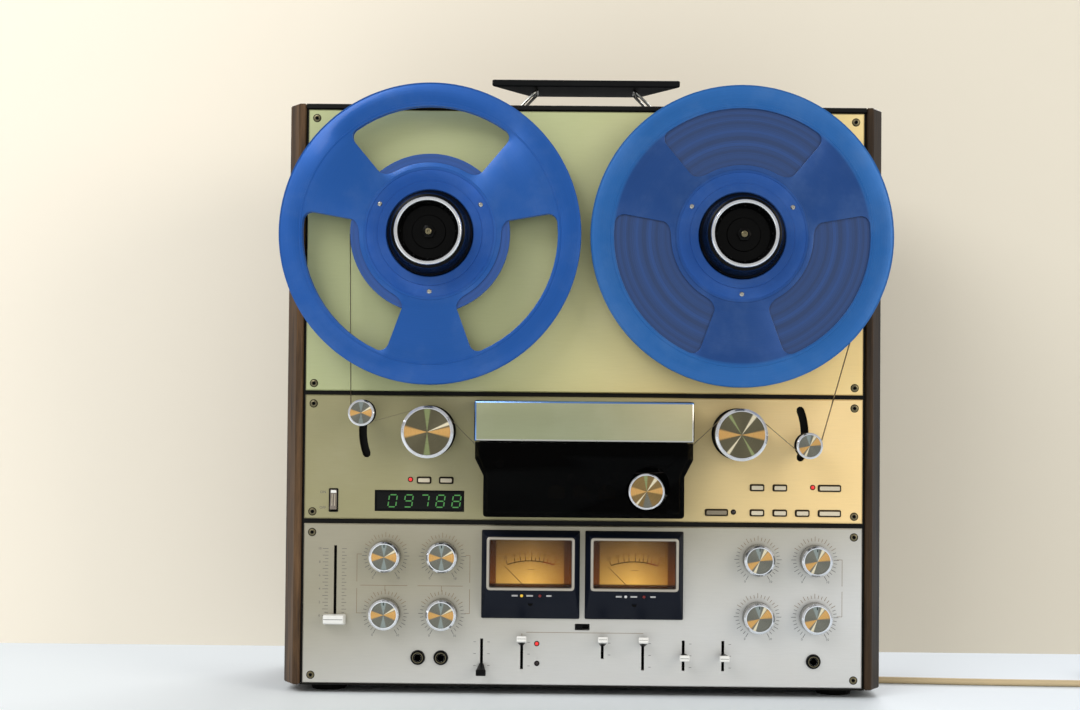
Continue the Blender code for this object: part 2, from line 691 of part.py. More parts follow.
def make_middle_panel():
    bm = bmesh.new()
    add_prism(bm, rectangle(0, MIDDLE_Z + MIDDLE_HEIGHT / 2, PANEL_WIDTH, MIDDLE_HEIGHT),
              -PANEL_THICKNESS, 0, PANEL_BEVEL)
    panel = place("middle_panel", bm, "panel")
    holes = bmesh.new()
    through = -PANEL_THICKNESS - OVERRUN
    for side in SIDES.values():
        add_prism(holes, circle(side * ROLLER_X, ROLLER_Z, ROLLER_SHAFT_RADIUS + GAP, SHAFT_ROUND),
                  through, OVERRUN)
        add_prism(holes, arm_slot(side), through, OVERRUN)
    capstan = capstan_place()
    add_prism(holes, circle(capstan.x, capstan.z, CAPSTAN_RADIUS + GAP, SHAFT_ROUND), through, OVERRUN)
    for shares in BUTTON_SHARES.values():
        x, z = middle_place(shares)
        add_prism(holes, rounded(x, z, button_width(shares) + 2 * BUTTON_FRAME, BUTTON_HEIGHT + 2 * BUTTON_FRAME,
                                 BUTTON_FRAME, 3), through, OVERRUN)
    x, z = middle_place(POWER_SHARES)
    add_prism(holes, rectangle(x, z, ROCKER_WIDTH + 2 * GAP, 2 * (ROCKER_HALF_HEIGHT + ROCKER_CLEARANCE)),
              through, OVERRUN)
    x, z = middle_place(COUNTER_SHARES)
    add_prism(holes, rectangle(x, z, COUNTER_WIDTH, COUNTER_HEIGHT), -COUNTER_DEPTH, OVERRUN)
    cut(panel, holes)


def make_lower_panel():
    bm = bmesh.new()
    add_prism(bm, rectangle(0, LOWER_Z + LOWER_HEIGHT / 2, PANEL_WIDTH, LOWER_HEIGHT),
              -PANEL_THICKNESS, 0, PANEL_BEVEL)
    panel = place("lower_panel", bm, "panel")
    nuts = bmesh.new()
    for shares in JACK_SHARES:
        x, z = lower_place(shares)
        add_prism(nuts, circle(x, z, JACK_RADIUS, SMALL_ROUND), -SINK, JACK_REACH, JACK_REACH / 4)
    join(panel, nuts)
    holes = bmesh.new()
    through = -PANEL_THICKNESS - OVERRUN
    for shares in JACK_SHARES:
        x, z = lower_place(shares)
        add_prism(holes, circle(x, z, JACK_BORE_RADIUS, SHAFT_ROUND), through, JACK_REACH + OVERRUN)
    for x, z in knob_places().values():
        add_prism(holes, circle(x, z, KNOB_SHAFT_RADIUS + GAP, SHAFT_ROUND), through, OVERRUN)
    for shares in LEVER_SHARES.values():
        low, high = (LEVER_Z + lever_offset(turn) for turn in shares[2:])
        margin = LEVER_STEM_HEIGHT / 2 / math.cos(LEVER_SWING) + 2 * GAP
        margin += PANEL_THICKNESS * math.tan(LEVER_SWING) / 2
        add_prism(holes, rectangle(shares[0] * PANEL_WIDTH, (low + high) / 2, LEVER_STEM_WIDTH + 2 * GAP,
                                   high - low + 2 * margin), through, OVERRUN)
    x, z = lower_place(SLIDE_SHARES)
    add_prism(holes, rectangle(x, z, SLIDE_WIDTH + SLIDE_TRAVEL + 2 * GAP, SLIDE_HEIGHT + 2 * GAP),
              through, OVERRUN)
    x, low, high = fader_slot()
    add_prism(holes, rectangle(x, (low + high) / 2, FADER_STEM_WIDTH + 2 * GAP, high - low), through, OVERRUN)
    for side in SIDES.values():
        width, low, high = meter_neck()
        add_prism(holes, rectangle(side * METER_X, (low + high) / 2, width + 2 * GAP, high - low + 2 * GAP),
                  through, OVERRUN)
    cut(panel, holes)


# Reels and hubs

def reel_window(turn):
    """Outline of one window in a reel's flanges, between the hub and the rim."""
    inner = REEL_HUB_RADIUS + WINDOW_HUB_RIM
    outer = REEL_RADIUS - WINDOW_RIM
    half = WINDOW_ANGLE / 2
    corner = half / 6
    inset = (outer - inner) / 5
    points = arc(0, 0, outer, turn - half + corner, turn + half - corner, 9)
    points += arc(0, 0, outer - inset / 3, turn + half - corner / 3, turn + half - corner / 3, 2)[:1]
    points += arc(0, 0, outer - inset, turn + half, turn + half, 2)[:1]
    points += arc(0, 0, inner + inset, turn + half, turn + half, 2)[:1]
    points += arc(0, 0, inner, turn + half - 2 * corner, turn - half + 2 * corner, 7)
    points += arc(0, 0, inner + inset, turn - half, turn - half, 2)[:1]
    points += arc(0, 0, outer - inset, turn - half, turn - half, 2)[:1]
    points += arc(0, 0, outer - inset / 3, turn - half + corner / 3, turn - half + corner / 3, 2)[:1]
    return points


def make_reels():
    low = REEL_OUT
    inner_low = REEL_OUT + FLANGE_THICKNESS
    inner_high = inner_low + FLANGE_SPACE
    high = REEL_FRONT
    packs = {"left": LEFT_PACK_RADIUS, "right": RIGHT_PACK_RADIUS}
    for name, side in SIDES.items():
        centre = (side * REEL_X, 0, REEL_Z)
        bm = bmesh.new()
        add_turned(bm, [(REEL_BORE_RADIUS, low), (REEL_RADIUS, low), (REEL_RADIUS, inner_low),
                        (REEL_HUB_RADIUS, inner_low), (REEL_HUB_RADIUS, inner_high),
                        (REEL_RADIUS, inner_high), (REEL_RADIUS, high), (REEL_BORE_RADIUS, high)],
                   centre[0], centre[2], FINE, closed=True)
        reel = smooth(place(f"{name}_reel", bm, "blue", pivot=centre))
        windows = bmesh.new()
        for step in range(WINDOW_COUNT):
            turn = math.pi / 2 + 2 * math.pi * step / WINDOW_COUNT
            outline = [(centre[0] + x, centre[2] + z) for x, z in reel_window(turn)]
            add_prism(windows, outline, low - OVERRUN, inner_low + OVERRUN)
            add_prism(windows, outline, inner_high - OVERRUN, high + OVERRUN)
        cut(reel, windows, pivot=centre)

        bm = bmesh.new()
        add_turned(bm, [(REEL_HUB_RADIUS + GAP, inner_low + GAP), (packs[name], inner_low + GAP),
                        (packs[name], inner_high - GAP), (REEL_HUB_RADIUS + GAP, inner_high - GAP)],
                   centre[0], centre[2], FINE, closed=True)
        smooth(place(f"{name}_tape_pack", bm, "tape", pivot=centre))


def make_hub_adapters():
    seat = REEL_OUT - GAP
    disc = seat - TURNTABLE_THICKNESS
    body = REEL_BORE_RADIUS - GAP
    neck = REEL_FRONT + FLANGE_THICKNESS
    rim = ADAPTER_RECESS_RADIUS + (ADAPTER_RING_RADIUS - ADAPTER_RECESS_RADIUS) / 2
    floor = ADAPTER_REACH - ADAPTER_RECESS_DEPTH
    taper = (ADAPTER_REACH - neck) / 3
    profile = [(0, -SPINDLE_DEPTH), (SPINDLE_RADIUS, -SPINDLE_DEPTH), (SPINDLE_RADIUS, KNOB_LIFT),
               (SPINDLE_BOSS_RADIUS, KNOB_LIFT), (SPINDLE_BOSS_RADIUS, disc), (TURNTABLE_RADIUS, disc),
               (TURNTABLE_RADIUS, seat), (body, seat), (body, neck),
               (ADAPTER_RING_RADIUS + (body - ADAPTER_RING_RADIUS) / 3, neck + taper),
               (ADAPTER_RING_RADIUS, ADAPTER_REACH - taper / 2), (rim, ADAPTER_REACH),
               (ADAPTER_RECESS_RADIUS, ADAPTER_REACH - taper / 3), (ADAPTER_RECESS_RADIUS - taper / 4, floor),
               (ADAPTER_NUT_RADIUS, floor), (ADAPTER_NUT_RADIUS, floor + ADAPTER_NUT_HEIGHT - taper / 5),
               (ADAPTER_NUT_RADIUS - taper / 5, floor + ADAPTER_NUT_HEIGHT), (0, floor + ADAPTER_NUT_HEIGHT)]
    for name, side in SIDES.items():
        centre = (side * REEL_X, 0, REEL_Z)
        bm = bmesh.new()
        add_turned(bm, profile, centre[0], centre[2], ROUND)
        smooth(place(f"{name}_hub_adapter", bm, "black", pivot=centre))


# Rollers and tension arms

def arm_angle(side, turn):
    return turn if side > 0 else math.pi - turn


def arm_slot(side):
    """Curved slot for the arm's post, an arc about the roller's axis with round ends."""
    half = POST_RADIUS + SLOT_CLEARANCE
    x = side * ROLLER_X
    low, high = arm_angle(side, -ARM_BOTTOM_ANGLE), arm_angle(side, ARM_TOP_ANGLE)
    if low > high:
        low, high = high, low
    start = (x + ARM_RADIUS * math.cos(low), ROLLER_Z + ARM_RADIUS * math.sin(low))
    end = (x + ARM_RADIUS * math.cos(high), ROLLER_Z + ARM_RADIUS * math.sin(high))
    points = arc(x, ROLLER_Z, ARM_RADIUS + half, low, high, 9)
    points += arc(*end, half, high, high + math.pi, 5)[1:-1]
    points += arc(x, ROLLER_Z, ARM_RADIUS - half, high, low, 9)
    points += arc(*start, half, low + math.pi, low + 2 * math.pi, 5)[1:-1]
    return points


def arm_pocket(side):
    """Room behind the panel that the arm sweeps between the ends of its slot."""
    x = side * ROLLER_X
    low, high = arm_angle(side, -ARM_BOTTOM_ANGLE), arm_angle(side, ARM_TOP_ANGLE)
    if low > high:
        low, high = high, low
    quarter = math.pi / 2
    hub = ARM_HUB_RADIUS + 2 * GAP
    tip = ARM_END_RADIUS + 2 * GAP
    ends = [(x + ARM_RADIUS * math.cos(turn), ROLLER_Z + ARM_RADIUS * math.sin(turn)) for turn in (low, high)]
    points = arc(x, ROLLER_Z, ARM_RADIUS + tip, low, high, 11)
    points += arc(*ends[1], tip, high, high + quarter, 5)[1:]
    points += arc(x, ROLLER_Z, hub, high + quarter, low + 3 * quarter, 11)
    points += arc(*ends[0], tip, low - quarter, low, 5)[:-1]
    return points


def make_rollers():
    cap = ROLLER_REACH - ROLLER_CAP
    chamfer = ROLLER_CAP / 4
    lip = ROLLER_RADIUS - ROLLER_BODY_RADIUS
    profile = [(0, -ROLLER_SHAFT_DEPTH), (ROLLER_SHAFT_RADIUS, -ROLLER_SHAFT_DEPTH),
               (ROLLER_SHAFT_RADIUS, KNOB_LIFT), (ROLLER_RADIUS, KNOB_LIFT),
               (ROLLER_RADIUS, KNOB_LIFT + 2 * lip), (ROLLER_BODY_RADIUS, KNOB_LIFT + 3 * lip),
               (ROLLER_BODY_RADIUS, cap - lip), (ROLLER_RADIUS, cap),
               (ROLLER_RADIUS, ROLLER_REACH - chamfer), (ROLLER_RADIUS - chamfer, ROLLER_REACH),
               (0, ROLLER_REACH)]
    for name, side in SIDES.items():
        centre = (side * ROLLER_X, 0, ROLLER_Z)
        bm = bmesh.new()
        add_turned(bm, profile, centre[0], centre[2], ROUND)
        smooth(place(f"{name}_tape_roller", bm, "aluminium", pivot=centre))


def make_tension_arms():
    back = -(SEAT + ARM_THICKNESS)
    front = -(SEAT + GAP)
    tip = SMALL_ROLLER_OUT + SMALL_ROLLER_LENGTH + 2 * GAP
    low = SMALL_ROLLER_OUT
    high = SMALL_ROLLER_OUT + SMALL_ROLLER_LENGTH
    rim = SMALL_ROLLER_LENGTH / 5
    deep = SMALL_ROLLER_RADIUS - SMALL_ROLLER_GROOVE
    rests = {"left": LEFT_ARM_REST, "right": RIGHT_ARM_REST}
    for name, side in SIDES.items():
        turn = arm_angle(side, rests[name])
        hub = (side * ROLLER_X, ROLLER_Z)
        post = (hub[0] + ARM_RADIUS * math.cos(turn), hub[1] + ARM_RADIUS * math.sin(turn))
        pivot = (hub[0], 0, hub[1])
        bm = bmesh.new()
        add_prism(bm, link_outline(hub, post, ARM_HUB_RADIUS, ARM_END_RADIUS), back, front)
        arm = place(f"{name}_tension_arm", bm, "steel", pivot=pivot)
        pin = bmesh.new()
        add_prism(pin, circle(*post, POST_RADIUS, SHAFT_ROUND), front - SINK, tip, POST_RADIUS / 4)
        join(arm, pin, pivot=pivot)
        bore = bmesh.new()
        add_prism(bore, circle(*hub, ROLLER_SHAFT_RADIUS + GAP, SHAFT_ROUND), back - OVERRUN, front + OVERRUN)
        cut(arm, bore, pivot=pivot)

        bm = bmesh.new()
        bore_radius = POST_RADIUS + GAP
        add_turned(bm, [(bore_radius, low), (SMALL_ROLLER_RADIUS, low), (SMALL_ROLLER_RADIUS, low + rim),
                        (deep, low + rim + SMALL_ROLLER_GROOVE / 2), (deep, high - rim - SMALL_ROLLER_GROOVE / 2),
                        (SMALL_ROLLER_RADIUS, high - rim), (SMALL_ROLLER_RADIUS, high), (bore_radius, high)],
                   post[0], post[1], SMALL_ROUND, closed=True)
        smooth(place(f"{name}_guide_roller", bm, "black", pivot=(post[0], 0, post[1])))


# Heads, capstan and cover

def pinch_engaged():
    lever = Vector((PINCH_X, 0, PINCH_Z)) - PINCH_PIVOT
    return PINCH_PIVOT + Matrix.Rotation(PINCH_SWING, 3, "Y") @ lever


def capstan_place():
    """The capstan stands where the swung pinch roller just meets it."""
    engaged = pinch_engaged()
    towards = (engaged - Vector((PINCH_X, 0, PINCH_Z))).normalized()
    return engaged + towards * (PINCH_RADIUS + CAPSTAN_RADIUS + GAP)


def cover_outline(inset, lift=0.0):
    top = COVER_TOP + lift
    shoulder = COVER_TOP - COVER_SHOULDER
    knee = shoulder - COVER_SLANT
    wide = COVER_HALF_WIDTH - inset
    narrow = COVER_FOOT_HALF_WIDTH - inset
    foot = COVER_BOTTOM + inset
    corner = COVER_CORNER
    right = [(wide, top), (wide, shoulder), (narrow, knee)]
    right += arc(narrow - corner, foot + corner, corner, 0, -math.pi / 2, 4)
    left = [(-x, z) for x, z in reversed(right)]
    return right + left


def make_head_block():
    inset = COVER_WALL + 2 * GAP
    bm = bmesh.new()
    add_prism(bm, cover_outline(inset, lift=2 * SINK), GAP, GAP + BASE_THICKNESS)
    block = place("head_block", bm, "black")
    nose = bmesh.new()
    add_prism(nose, rectangle(0, NOSE_BOTTOM + NOSE_HEIGHT / 2, 2 * NOSE_HALF_WIDTH, NOSE_HEIGHT),
              GAP, NOSE_REACH, NOSE_BEVEL)
    join(block, nose)
    stack = bmesh.new()
    root = GAP + BASE_THICKNESS - SINK
    for step in range(3):
        x = LAST_HEAD_X - step * HEAD_PITCH
        half = HEAD_WIDTH / 2
        foot = HEAD_Z - HEAD_HEIGHT
        outline = [(x - half, foot), (x + half, foot), (x + half, HEAD_Z - HEAD_CROWN)]
        outline += arc(x, HEAD_Z - HEAD_CROWN, HEAD_CROWN, math.pi * 0.4, math.pi * 0.6, 3)
        outline += [(x - half, HEAD_Z - HEAD_CROWN)]
        add_prism(stack, outline, root, HEAD_REACH)
    for x, z in guide_places():
        add_prism(stack, circle(x, z, GUIDE_RADIUS, SHAFT_ROUND), root, GUIDE_REACH)
    join(block, stack)
    bores = bmesh.new()
    capstan = capstan_place()
    front = GAP + BASE_THICKNESS + OVERRUN
    add_prism(bores, circle(capstan.x, capstan.z, CAPSTAN_RADIUS + GAP, SHAFT_ROUND), -OVERRUN, front)
    add_prism(bores, circle(PINCH_PIVOT.x, PINCH_PIVOT.z, PINCH_PIN_RADIUS + GAP, SHAFT_ROUND), -OVERRUN, front)
    cut(block, bores)


def guide_places():
    """Tape guides: one at the entry, and one on each side of the last head, above the tape."""
    near = (HEAD_WIDTH + GUIDE_RADIUS) / 2
    return [(-COVER_HALF_WIDTH + HEAD_DROP, HEAD_Z + 2 * COVER_CORNER + HEAD_HEIGHT),
            (LAST_HEAD_X - HEAD_PITCH - near, HEAD_Z + 2 * GUIDE_RADIUS),
            (LAST_HEAD_X - near, HEAD_Z + 2 * GUIDE_RADIUS),
            (LAST_HEAD_X + near, HEAD_Z + 3 * GUIDE_RADIUS)]


def make_head_cover():
    pivot = (0, -NOSE_REACH, COVER_TOP)
    bm = bmesh.new()
    add_prism(bm, cover_outline(0), COVER_BACK_OUT, NOSE_REACH, PANEL_BEVEL)
    cover = place("head_cover", bm, "smoked", pivot=pivot)
    hollow = bmesh.new()
    add_prism(hollow, cover_outline(COVER_WALL, lift=OVERRUN), COVER_BACK_OUT - OVERRUN, NOSE_REACH - COVER_WALL)
    cut(cover, hollow, pivot=pivot)
    window = bmesh.new()
    engaged = pinch_engaged()
    radius = PINCH_CAP_RADIUS + CAP_CLEARANCE
    add_prism(window, link_outline((PINCH_X, PINCH_Z), (engaged.x, engaged.z), radius, radius, 11),
              NOSE_REACH - COVER_WALL - OVERRUN, NOSE_REACH + OVERRUN)
    cut(cover, window, pivot=pivot)


def make_capstan():
    centre = capstan_place()
    collar = GAP + BASE_THICKNESS + GAP
    thickness = PINCH_ARM_THICKNESS / 2
    bm = bmesh.new()
    add_turned(bm, [(0, -ROLLER_SHAFT_DEPTH), (CAPSTAN_RADIUS, -ROLLER_SHAFT_DEPTH), (CAPSTAN_RADIUS, collar),
                    (CAPSTAN_COLLAR_RADIUS, collar), (CAPSTAN_COLLAR_RADIUS, collar + thickness),
                    (CAPSTAN_RADIUS, collar + thickness), (CAPSTAN_RADIUS, CAPSTAN_REACH), (0, CAPSTAN_REACH)],
               centre.x, centre.z, SMALL_ROUND)
    smooth(place("capstan", bm, "steel", pivot=centre))


def make_pinch_roller():
    back = GAP + BASE_THICKNESS + GAP
    front = back + PINCH_ARM_THICKNESS
    pivot = tuple(PINCH_PIVOT)
    hub = (PINCH_PIVOT.x, PINCH_PIVOT.z)
    axle = (PINCH_X, PINCH_Z)
    bm = bmesh.new()
    add_prism(bm, link_outline(hub, axle, PINCH_ARM_RADIUS, PINCH_ARM_RADIUS), back, front)
    arm = place("pinch_arm", bm, "steel", pivot=pivot)
    pins = bmesh.new()
    bore_end = PINCH_REACH - PINCH_CAP
    add_prism(pins, circle(*axle, POST_RADIUS, SHAFT_ROUND), front - SINK, bore_end - GAP)
    add_prism(pins, circle(*hub, PINCH_PIN_RADIUS, SHAFT_ROUND), 2 * GAP, back + SINK)
    join(arm, pins, pivot=pivot)

    bore = POST_RADIUS + GAP
    chamfer = PINCH_CAP / 6
    bm = bmesh.new()
    add_turned(bm, [(0, bore_end), (bore, bore_end), (bore, PINCH_OUT), (PINCH_RADIUS, PINCH_OUT),
                    (PINCH_RADIUS, bore_end), (PINCH_CAP_RADIUS, bore_end + GAP),
                    (PINCH_CAP_RADIUS, PINCH_REACH - chamfer), (PINCH_CAP_RADIUS - chamfer, PINCH_REACH),
                    (0, PINCH_REACH)], PINCH_X, PINCH_Z, ROUND)
    smooth(place("pinch_roller", bm, "rubber", pivot=(PINCH_X, 0, PINCH_Z)))


# Meters

def meter_neck():
    low = METER_BOTTOM + METER_SIDE_SLOPE
    return METER_WIDTH - 2 * METER_NECK, low, METER_TOP - METER_NECK


def carrier_box():
    width = 2 * METER_X + METER_WIDTH - METER_NECK + CARRIER_MARGIN
    return width, METER_BOTTOM + METER_NECK, METER_TOP - METER_NECK + CARRIER_MARGIN / 2


def make_meter_unit():
    width, low, high = carrier_box()
    bm = bmesh.new()
    back = -(SEAT + CARRIER_THICKNESS)
    add_prism(bm, rectangle(0, (low + high) / 2, width, high - low), back, -SEAT)
    unit = place("meter_unit", bm, "meter")
    shells = bmesh.new()
    for side in SIDES.values():
        x = side * METER_X
        neck_width, neck_low, neck_high = meter_neck()
        middle = (METER_TOP + METER_BOTTOM) / 2
        rim = rectangle(x, middle, METER_WIDTH, METER_HEIGHT)
        neck = rectangle(x, (neck_low + neck_high) / 2, neck_width, neck_high - neck_low)
        face_low = METER_BOTTOM + METER_CHIN
        face_high = METER_TOP - METER_TOP_SLOPE
        face = rectangle(x, (face_low + face_high) / 2, METER_WIDTH - 2 * METER_SIDE_SLOPE, face_high - face_low)
        add_loft(shells, [section(-SEAT - SINK, neck), section(GAP, neck), section(GAP, rim),
                          section(METER_STEP, rim), section(METER_REACH, face)])
    join(unit, shells)
    dials = bmesh.new()
    floor = METER_REACH - METER_DIAL_DEPTH
    for side in SIDES.values():
        x = side * METER_X
        add_prism(dials, rectangle(x, (WINDOW_TOP + WINDOW_BOTTOM) / 2, METER_WINDOW_WIDTH, METER_WINDOW_HEIGHT),
                  floor, METER_REACH + OVERRUN)
    cut(unit, dials)
    wells = bmesh.new()
    for side in SIDES.values():
        x = side * METER_X
        reach = NEEDLE_PIVOT_DROP + NEEDLE_HUB_RADIUS
        well_low = NEEDLE_Z - NEEDLE_HUB_RADIUS - 2 * GAP
        add_prism(wells, rectangle(x, (well_low + WINDOW_BOTTOM + SINK) / 2, 2 * reach + 4 * GAP,
                                   WINDOW_BOTTOM + SINK - well_low), floor + SINK,
                  floor + NEEDLE_FLOAT + NEEDLE_THICKNESS + 2 * GAP)
        add_prism(wells, circle(x, METER_BOTTOM + METER_CHIN / 2, LENS_SCREW_RADIUS, SHAFT_ROUND),
                  METER_REACH / 2 - LENS_SCREW_DEPTH, METER_REACH)
    cut(unit, wells)
    bores = bmesh.new()
    for side in SIDES.values():
        add_prism(bores, circle(side * METER_X, NEEDLE_Z, NEEDLE_PIN_RADIUS + GAP, SHAFT_ROUND),
                  floor + NEEDLE_FLOAT - NEEDLE_PIN_LENGTH - GAP, floor + SINK + GAP)
    cut(unit, bores)


def make_needles():
    floor = METER_REACH - METER_DIAL_DEPTH
    back = floor + NEEDLE_FLOAT
    for name, side in SIDES.items():
        x = side * METER_X
        pivot = (x, 0, NEEDLE_Z)
        half = NEEDLE_WIDTH / 2
        root = math.acos(half / NEEDLE_HUB_RADIUS)
        outline = [(x - half / 2, NEEDLE_Z + NEEDLE_LENGTH)]
        outline += arc(x, NEEDLE_Z, NEEDLE_HUB_RADIUS, math.pi - root, 2 * math.pi + root, 9)
        outline += [(x + half / 2, NEEDLE_Z + NEEDLE_LENGTH)]
        bm = bmesh.new()
        add_prism(bm, outline, back, back + NEEDLE_THICKNESS)
        needle = place(f"{name}_meter_needle", bm, "black", pivot=pivot, turn=(0, -NEEDLE_REST, 0))
        pin = bmesh.new()
        add_prism(pin, circle(x, NEEDLE_Z, NEEDLE_PIN_RADIUS, SHAFT_ROUND),
                  back - NEEDLE_PIN_LENGTH, back + NEEDLE_THICKNESS / 2)
        join(needle, pin, pivot=pivot, turn=(0, -NEEDLE_REST, 0))


# Buttons, switches and knobs

def button_width(shares):
    return BUTTON_WIDE if shares[2] == "wide" else BUTTON_NARROW


def make_buttons():
    flange = SEAT + BUTTON_FLANGE_THICKNESS
    for name, shares in BUTTON_SHARES.items():
        x, z = middle_place(shares)
        width = button_width(shares)
        bm = bmesh.new()
        bar = rectangle(x, z, width, BUTTON_HEIGHT)
        wide = rectangle(x, z, width + 2 * BUTTON_FLANGE, BUTTON_HEIGHT + 2 * BUTTON_FLANGE)
        foot = rectangle(x, z, 2 * BUTTON_STEM_RADIUS, 2 * BUTTON_STEM_RADIUS)
        top = rectangle(x, z, width - 2 * BUTTON_BEVEL, BUTTON_HEIGHT - 2 * BUTTON_BEVEL)
        add_loft(bm, [section(-flange - BUTTON_STEM, foot), section(-flange, foot), section(-flange, wide),
                      section(-SEAT, wide), section(-SEAT, bar), section(BUTTON_REACH - BUTTON_BEVEL, bar),
                      section(BUTTON_REACH, top)])
        place(name, bm, "white", pivot=(x, 0, z))


def make_power_switch():
    x, z = middle_place(POWER_SHARES)
    axis = -ROCKER_AXIS_DEPTH
    front = ROCKER_REACH
    bm = bmesh.new()
    add_bar(bm, [(front, z - ROCKER_HALF_HEIGHT), (front, z - ROCKER_HALF_HEIGHT + ROCKER_WAIST), (ROCKER_WAIST, z),
                 (front, z + ROCKER_HALF_HEIGHT - ROCKER_WAIST), (front, z + ROCKER_HALF_HEIGHT),
                 (axis, z + ROCKER_HALF_HEIGHT), (-ROCKER_DEPTH, z + ROCKER_ROOT_HALF_HEIGHT),
                 (-ROCKER_DEPTH, z - ROCKER_ROOT_HALF_HEIGHT), (axis, z - ROCKER_HALF_HEIGHT)],
            x - ROCKER_WIDTH / 2, x + ROCKER_WIDTH / 2)
    place("power_switch", bm, "black", pivot=(x, -axis, z), turn=(-ROCKER_TILT, 0, 0))


def lever_offset(turn):
    """Height of the lever's middle above its pivot, where it passes the panel's front."""
    return LEVER_PIVOT_DEPTH * math.tan(turn * LEVER_SWING)


def make_levers():
    depth = LEVER_PIVOT_DEPTH
    for name, shares in LEVER_SHARES.items():
        x = shares[0] * PANEL_WIDTH
        barrel = LEVER_BARREL_RADIUS
        stem = rectangle(x, LEVER_Z, LEVER_STEM_WIDTH, LEVER_STEM_HEIGHT)
        tip = rectangle(x, LEVER_Z, LEVER_TIP_WIDTH, LEVER_TIP_HEIGHT)
        core = rectangle(x, LEVER_Z, LEVER_BARREL_WIDTH, 2 * barrel)
        ends = rectangle(x, LEVER_Z, LEVER_BARREL_WIDTH, barrel)
        bm = bmesh.new()
        add_loft(bm, [section(-depth - barrel, ends), section(-depth - barrel / 2, core),
                      section(-depth + barrel / 2, core), section(-depth + barrel, ends),
                      section(-depth + barrel, stem), section(LEVER_FLARE_OUT, stem),
                      section(LEVER_REACH - LEVER_STEM_WIDTH, tip), section(LEVER_REACH, tip)])
        place(name, bm, "black", pivot=(x, depth, LEVER_Z), turn=(-shares[1] * LEVER_SWING, 0, 0))


def make_slide_switch():
    x, z = lower_place(SLIDE_SHARES)
    rest = x - SLIDE_TRAVEL / 2
    bm = bmesh.new()
    bar = rectangle(rest, z, SLIDE_WIDTH, SLIDE_HEIGHT)
    shoe = rectangle(rest, z, 2 * SLIDE_WIDTH, SLIDE_HEIGHT + 2 * SLIDE_REACH)
    add_loft(bm, [section(-SEAT - SLIDE_DEPTH, shoe), section(-SEAT, shoe), section(-SEAT, bar),
                  section(SLIDE_REACH, bar)])
    place("track_slide_switch", bm, "black", pivot=(rest, 0, z))


def fader_slot():
    x, rest = lower_place(FADER_SHARES)
    half = FADER_STEM_HEIGHT / 2 + GAP
    return x, rest - half, rest + FADER_TRAVEL + half + FADER_END_SPACE


def make_fader():
    x, z = lower_place(FADER_SHARES)
    stem = rectangle(x, z, FADER_STEM_WIDTH, FADER_STEM_HEIGHT)
    shoe = rectangle(x, z, FADER_SHOE_WIDTH, FADER_SHOE_WIDTH)
    foot = rectangle(x, z, FADER_CAP_WIDTH, FADER_CAP_HEIGHT)
    top = rectangle(x, z + FADER_CAP_TAPER / 2, FADER_CAP_WIDTH - FADER_CAP_TAPER, FADER_CAP_HEIGHT - FADER_CAP_TAPER)
    bm = bmesh.new()
    add_loft(bm, [section(-SEAT - FADER_SHOE_DEPTH, shoe), section(-SEAT, shoe), section(-SEAT, stem),
                  section(FADER_CAP_OUT, stem), section(FADER_CAP_OUT, foot), section(FADER_REACH, top)])
    place("level_fader", bm, "white", pivot=(x, 0, z))


def knob_places():
    places = {}
    for side, columns in KNOB_COLUMN_SHARES.items():
        for column, column_share in zip(("outer", "inner"), columns if side == "left" else columns[::-1]):
            for row, row_share in zip(("upper", "lower"), KNOB_ROW_SHARES):
                places[f"{side}_{column}_{row}_knob"] = lower_place((column_share, row_share))
    return places


def make_knobs():
    face = KNOB_REACH
    for name, (x, z) in knob_places().items():
        bm = bmesh.new()
        add_turned(bm, [(0, -KNOB_SHAFT_DEPTH), (KNOB_SHAFT_RADIUS, -KNOB_SHAFT_DEPTH),
                        (KNOB_SHAFT_RADIUS, KNOB_LIFT), (KNOB_RADIUS, KNOB_LIFT), (KNOB_RADIUS, face - KNOB_CHAMFER),
                        (KNOB_FACE_RADIUS, face), (0, face)], x, z, SMALL_ROUND)
        smooth(place(name, bm, "aluminium", pivot=(x, 0, z)))


# Handle

def make_handle():
    base = ROOF_Z + GRIP_LIFT
    front, rear = GRIP_FRONT, GRIP_FRONT + GRIP_DEPTH
    outline = [(-GRIP_WIDTH / 2, front), (GRIP_WIDTH / 2, front), (GRIP_REAR_WIDTH / 2, rear),
               (-GRIP_REAR_WIDTH / 2, rear)]
    bm = bmesh.new()
    face = bm.faces.new([bm.verts.new((x, y, base)) for x, y in outline])
    made = bmesh.ops.extrude_face_region(bm, geom=[face])["geom"]
    verts = [part for part in made if isinstance(part, bmesh.types.BMVert)]
    bmesh.ops.translate(bm, vec=(0, 0, GRIP_THICKNESS), verts=verts)
    bmesh.ops.bevel(bm, geom=bm.edges[:], offset=GRIP_BEVEL, segments=2, profile=0.5, affect="EDGES")
    place("handle_grip", bm, "black")

    near = GRIP_FRONT + WIRE_INSET
    far = near + WIRE_LOOP
    foot = ROOF_Z + GAP
    top = base - GAP - WIRE_RADIUS
    for name, side in SIDES.items():
        low, high = side * WIRE_FOOT_X, side * WIRE_TOP_X
        bend = foot + 2 * WIRE_RADIUS
        corners = [Vector((low, near, bend)), Vector((high, near, top)), Vector((high, far, top)),
                   Vector((low, far, bend))]
        points = [Vector((low, near, foot)), corners[0]]
        for before, corner, after in zip(corners, corners[1:], corners[2:]):
            start = corner + (before - corner).normalized() * WIRE_BEND
            end = corner + (after - corner).normalized() * WIRE_BEND
            for step in range(5):
                share = step / 4
                points.append(start.lerp(corner, share).lerp(corner.lerp(end, share), share))
        points += [corners[-1], Vector((low, far, foot))]
        tube(f"{name}_handle_wire", points, WIRE_RADIUS, "steel", resolution=2)


# Lead, coil and plug

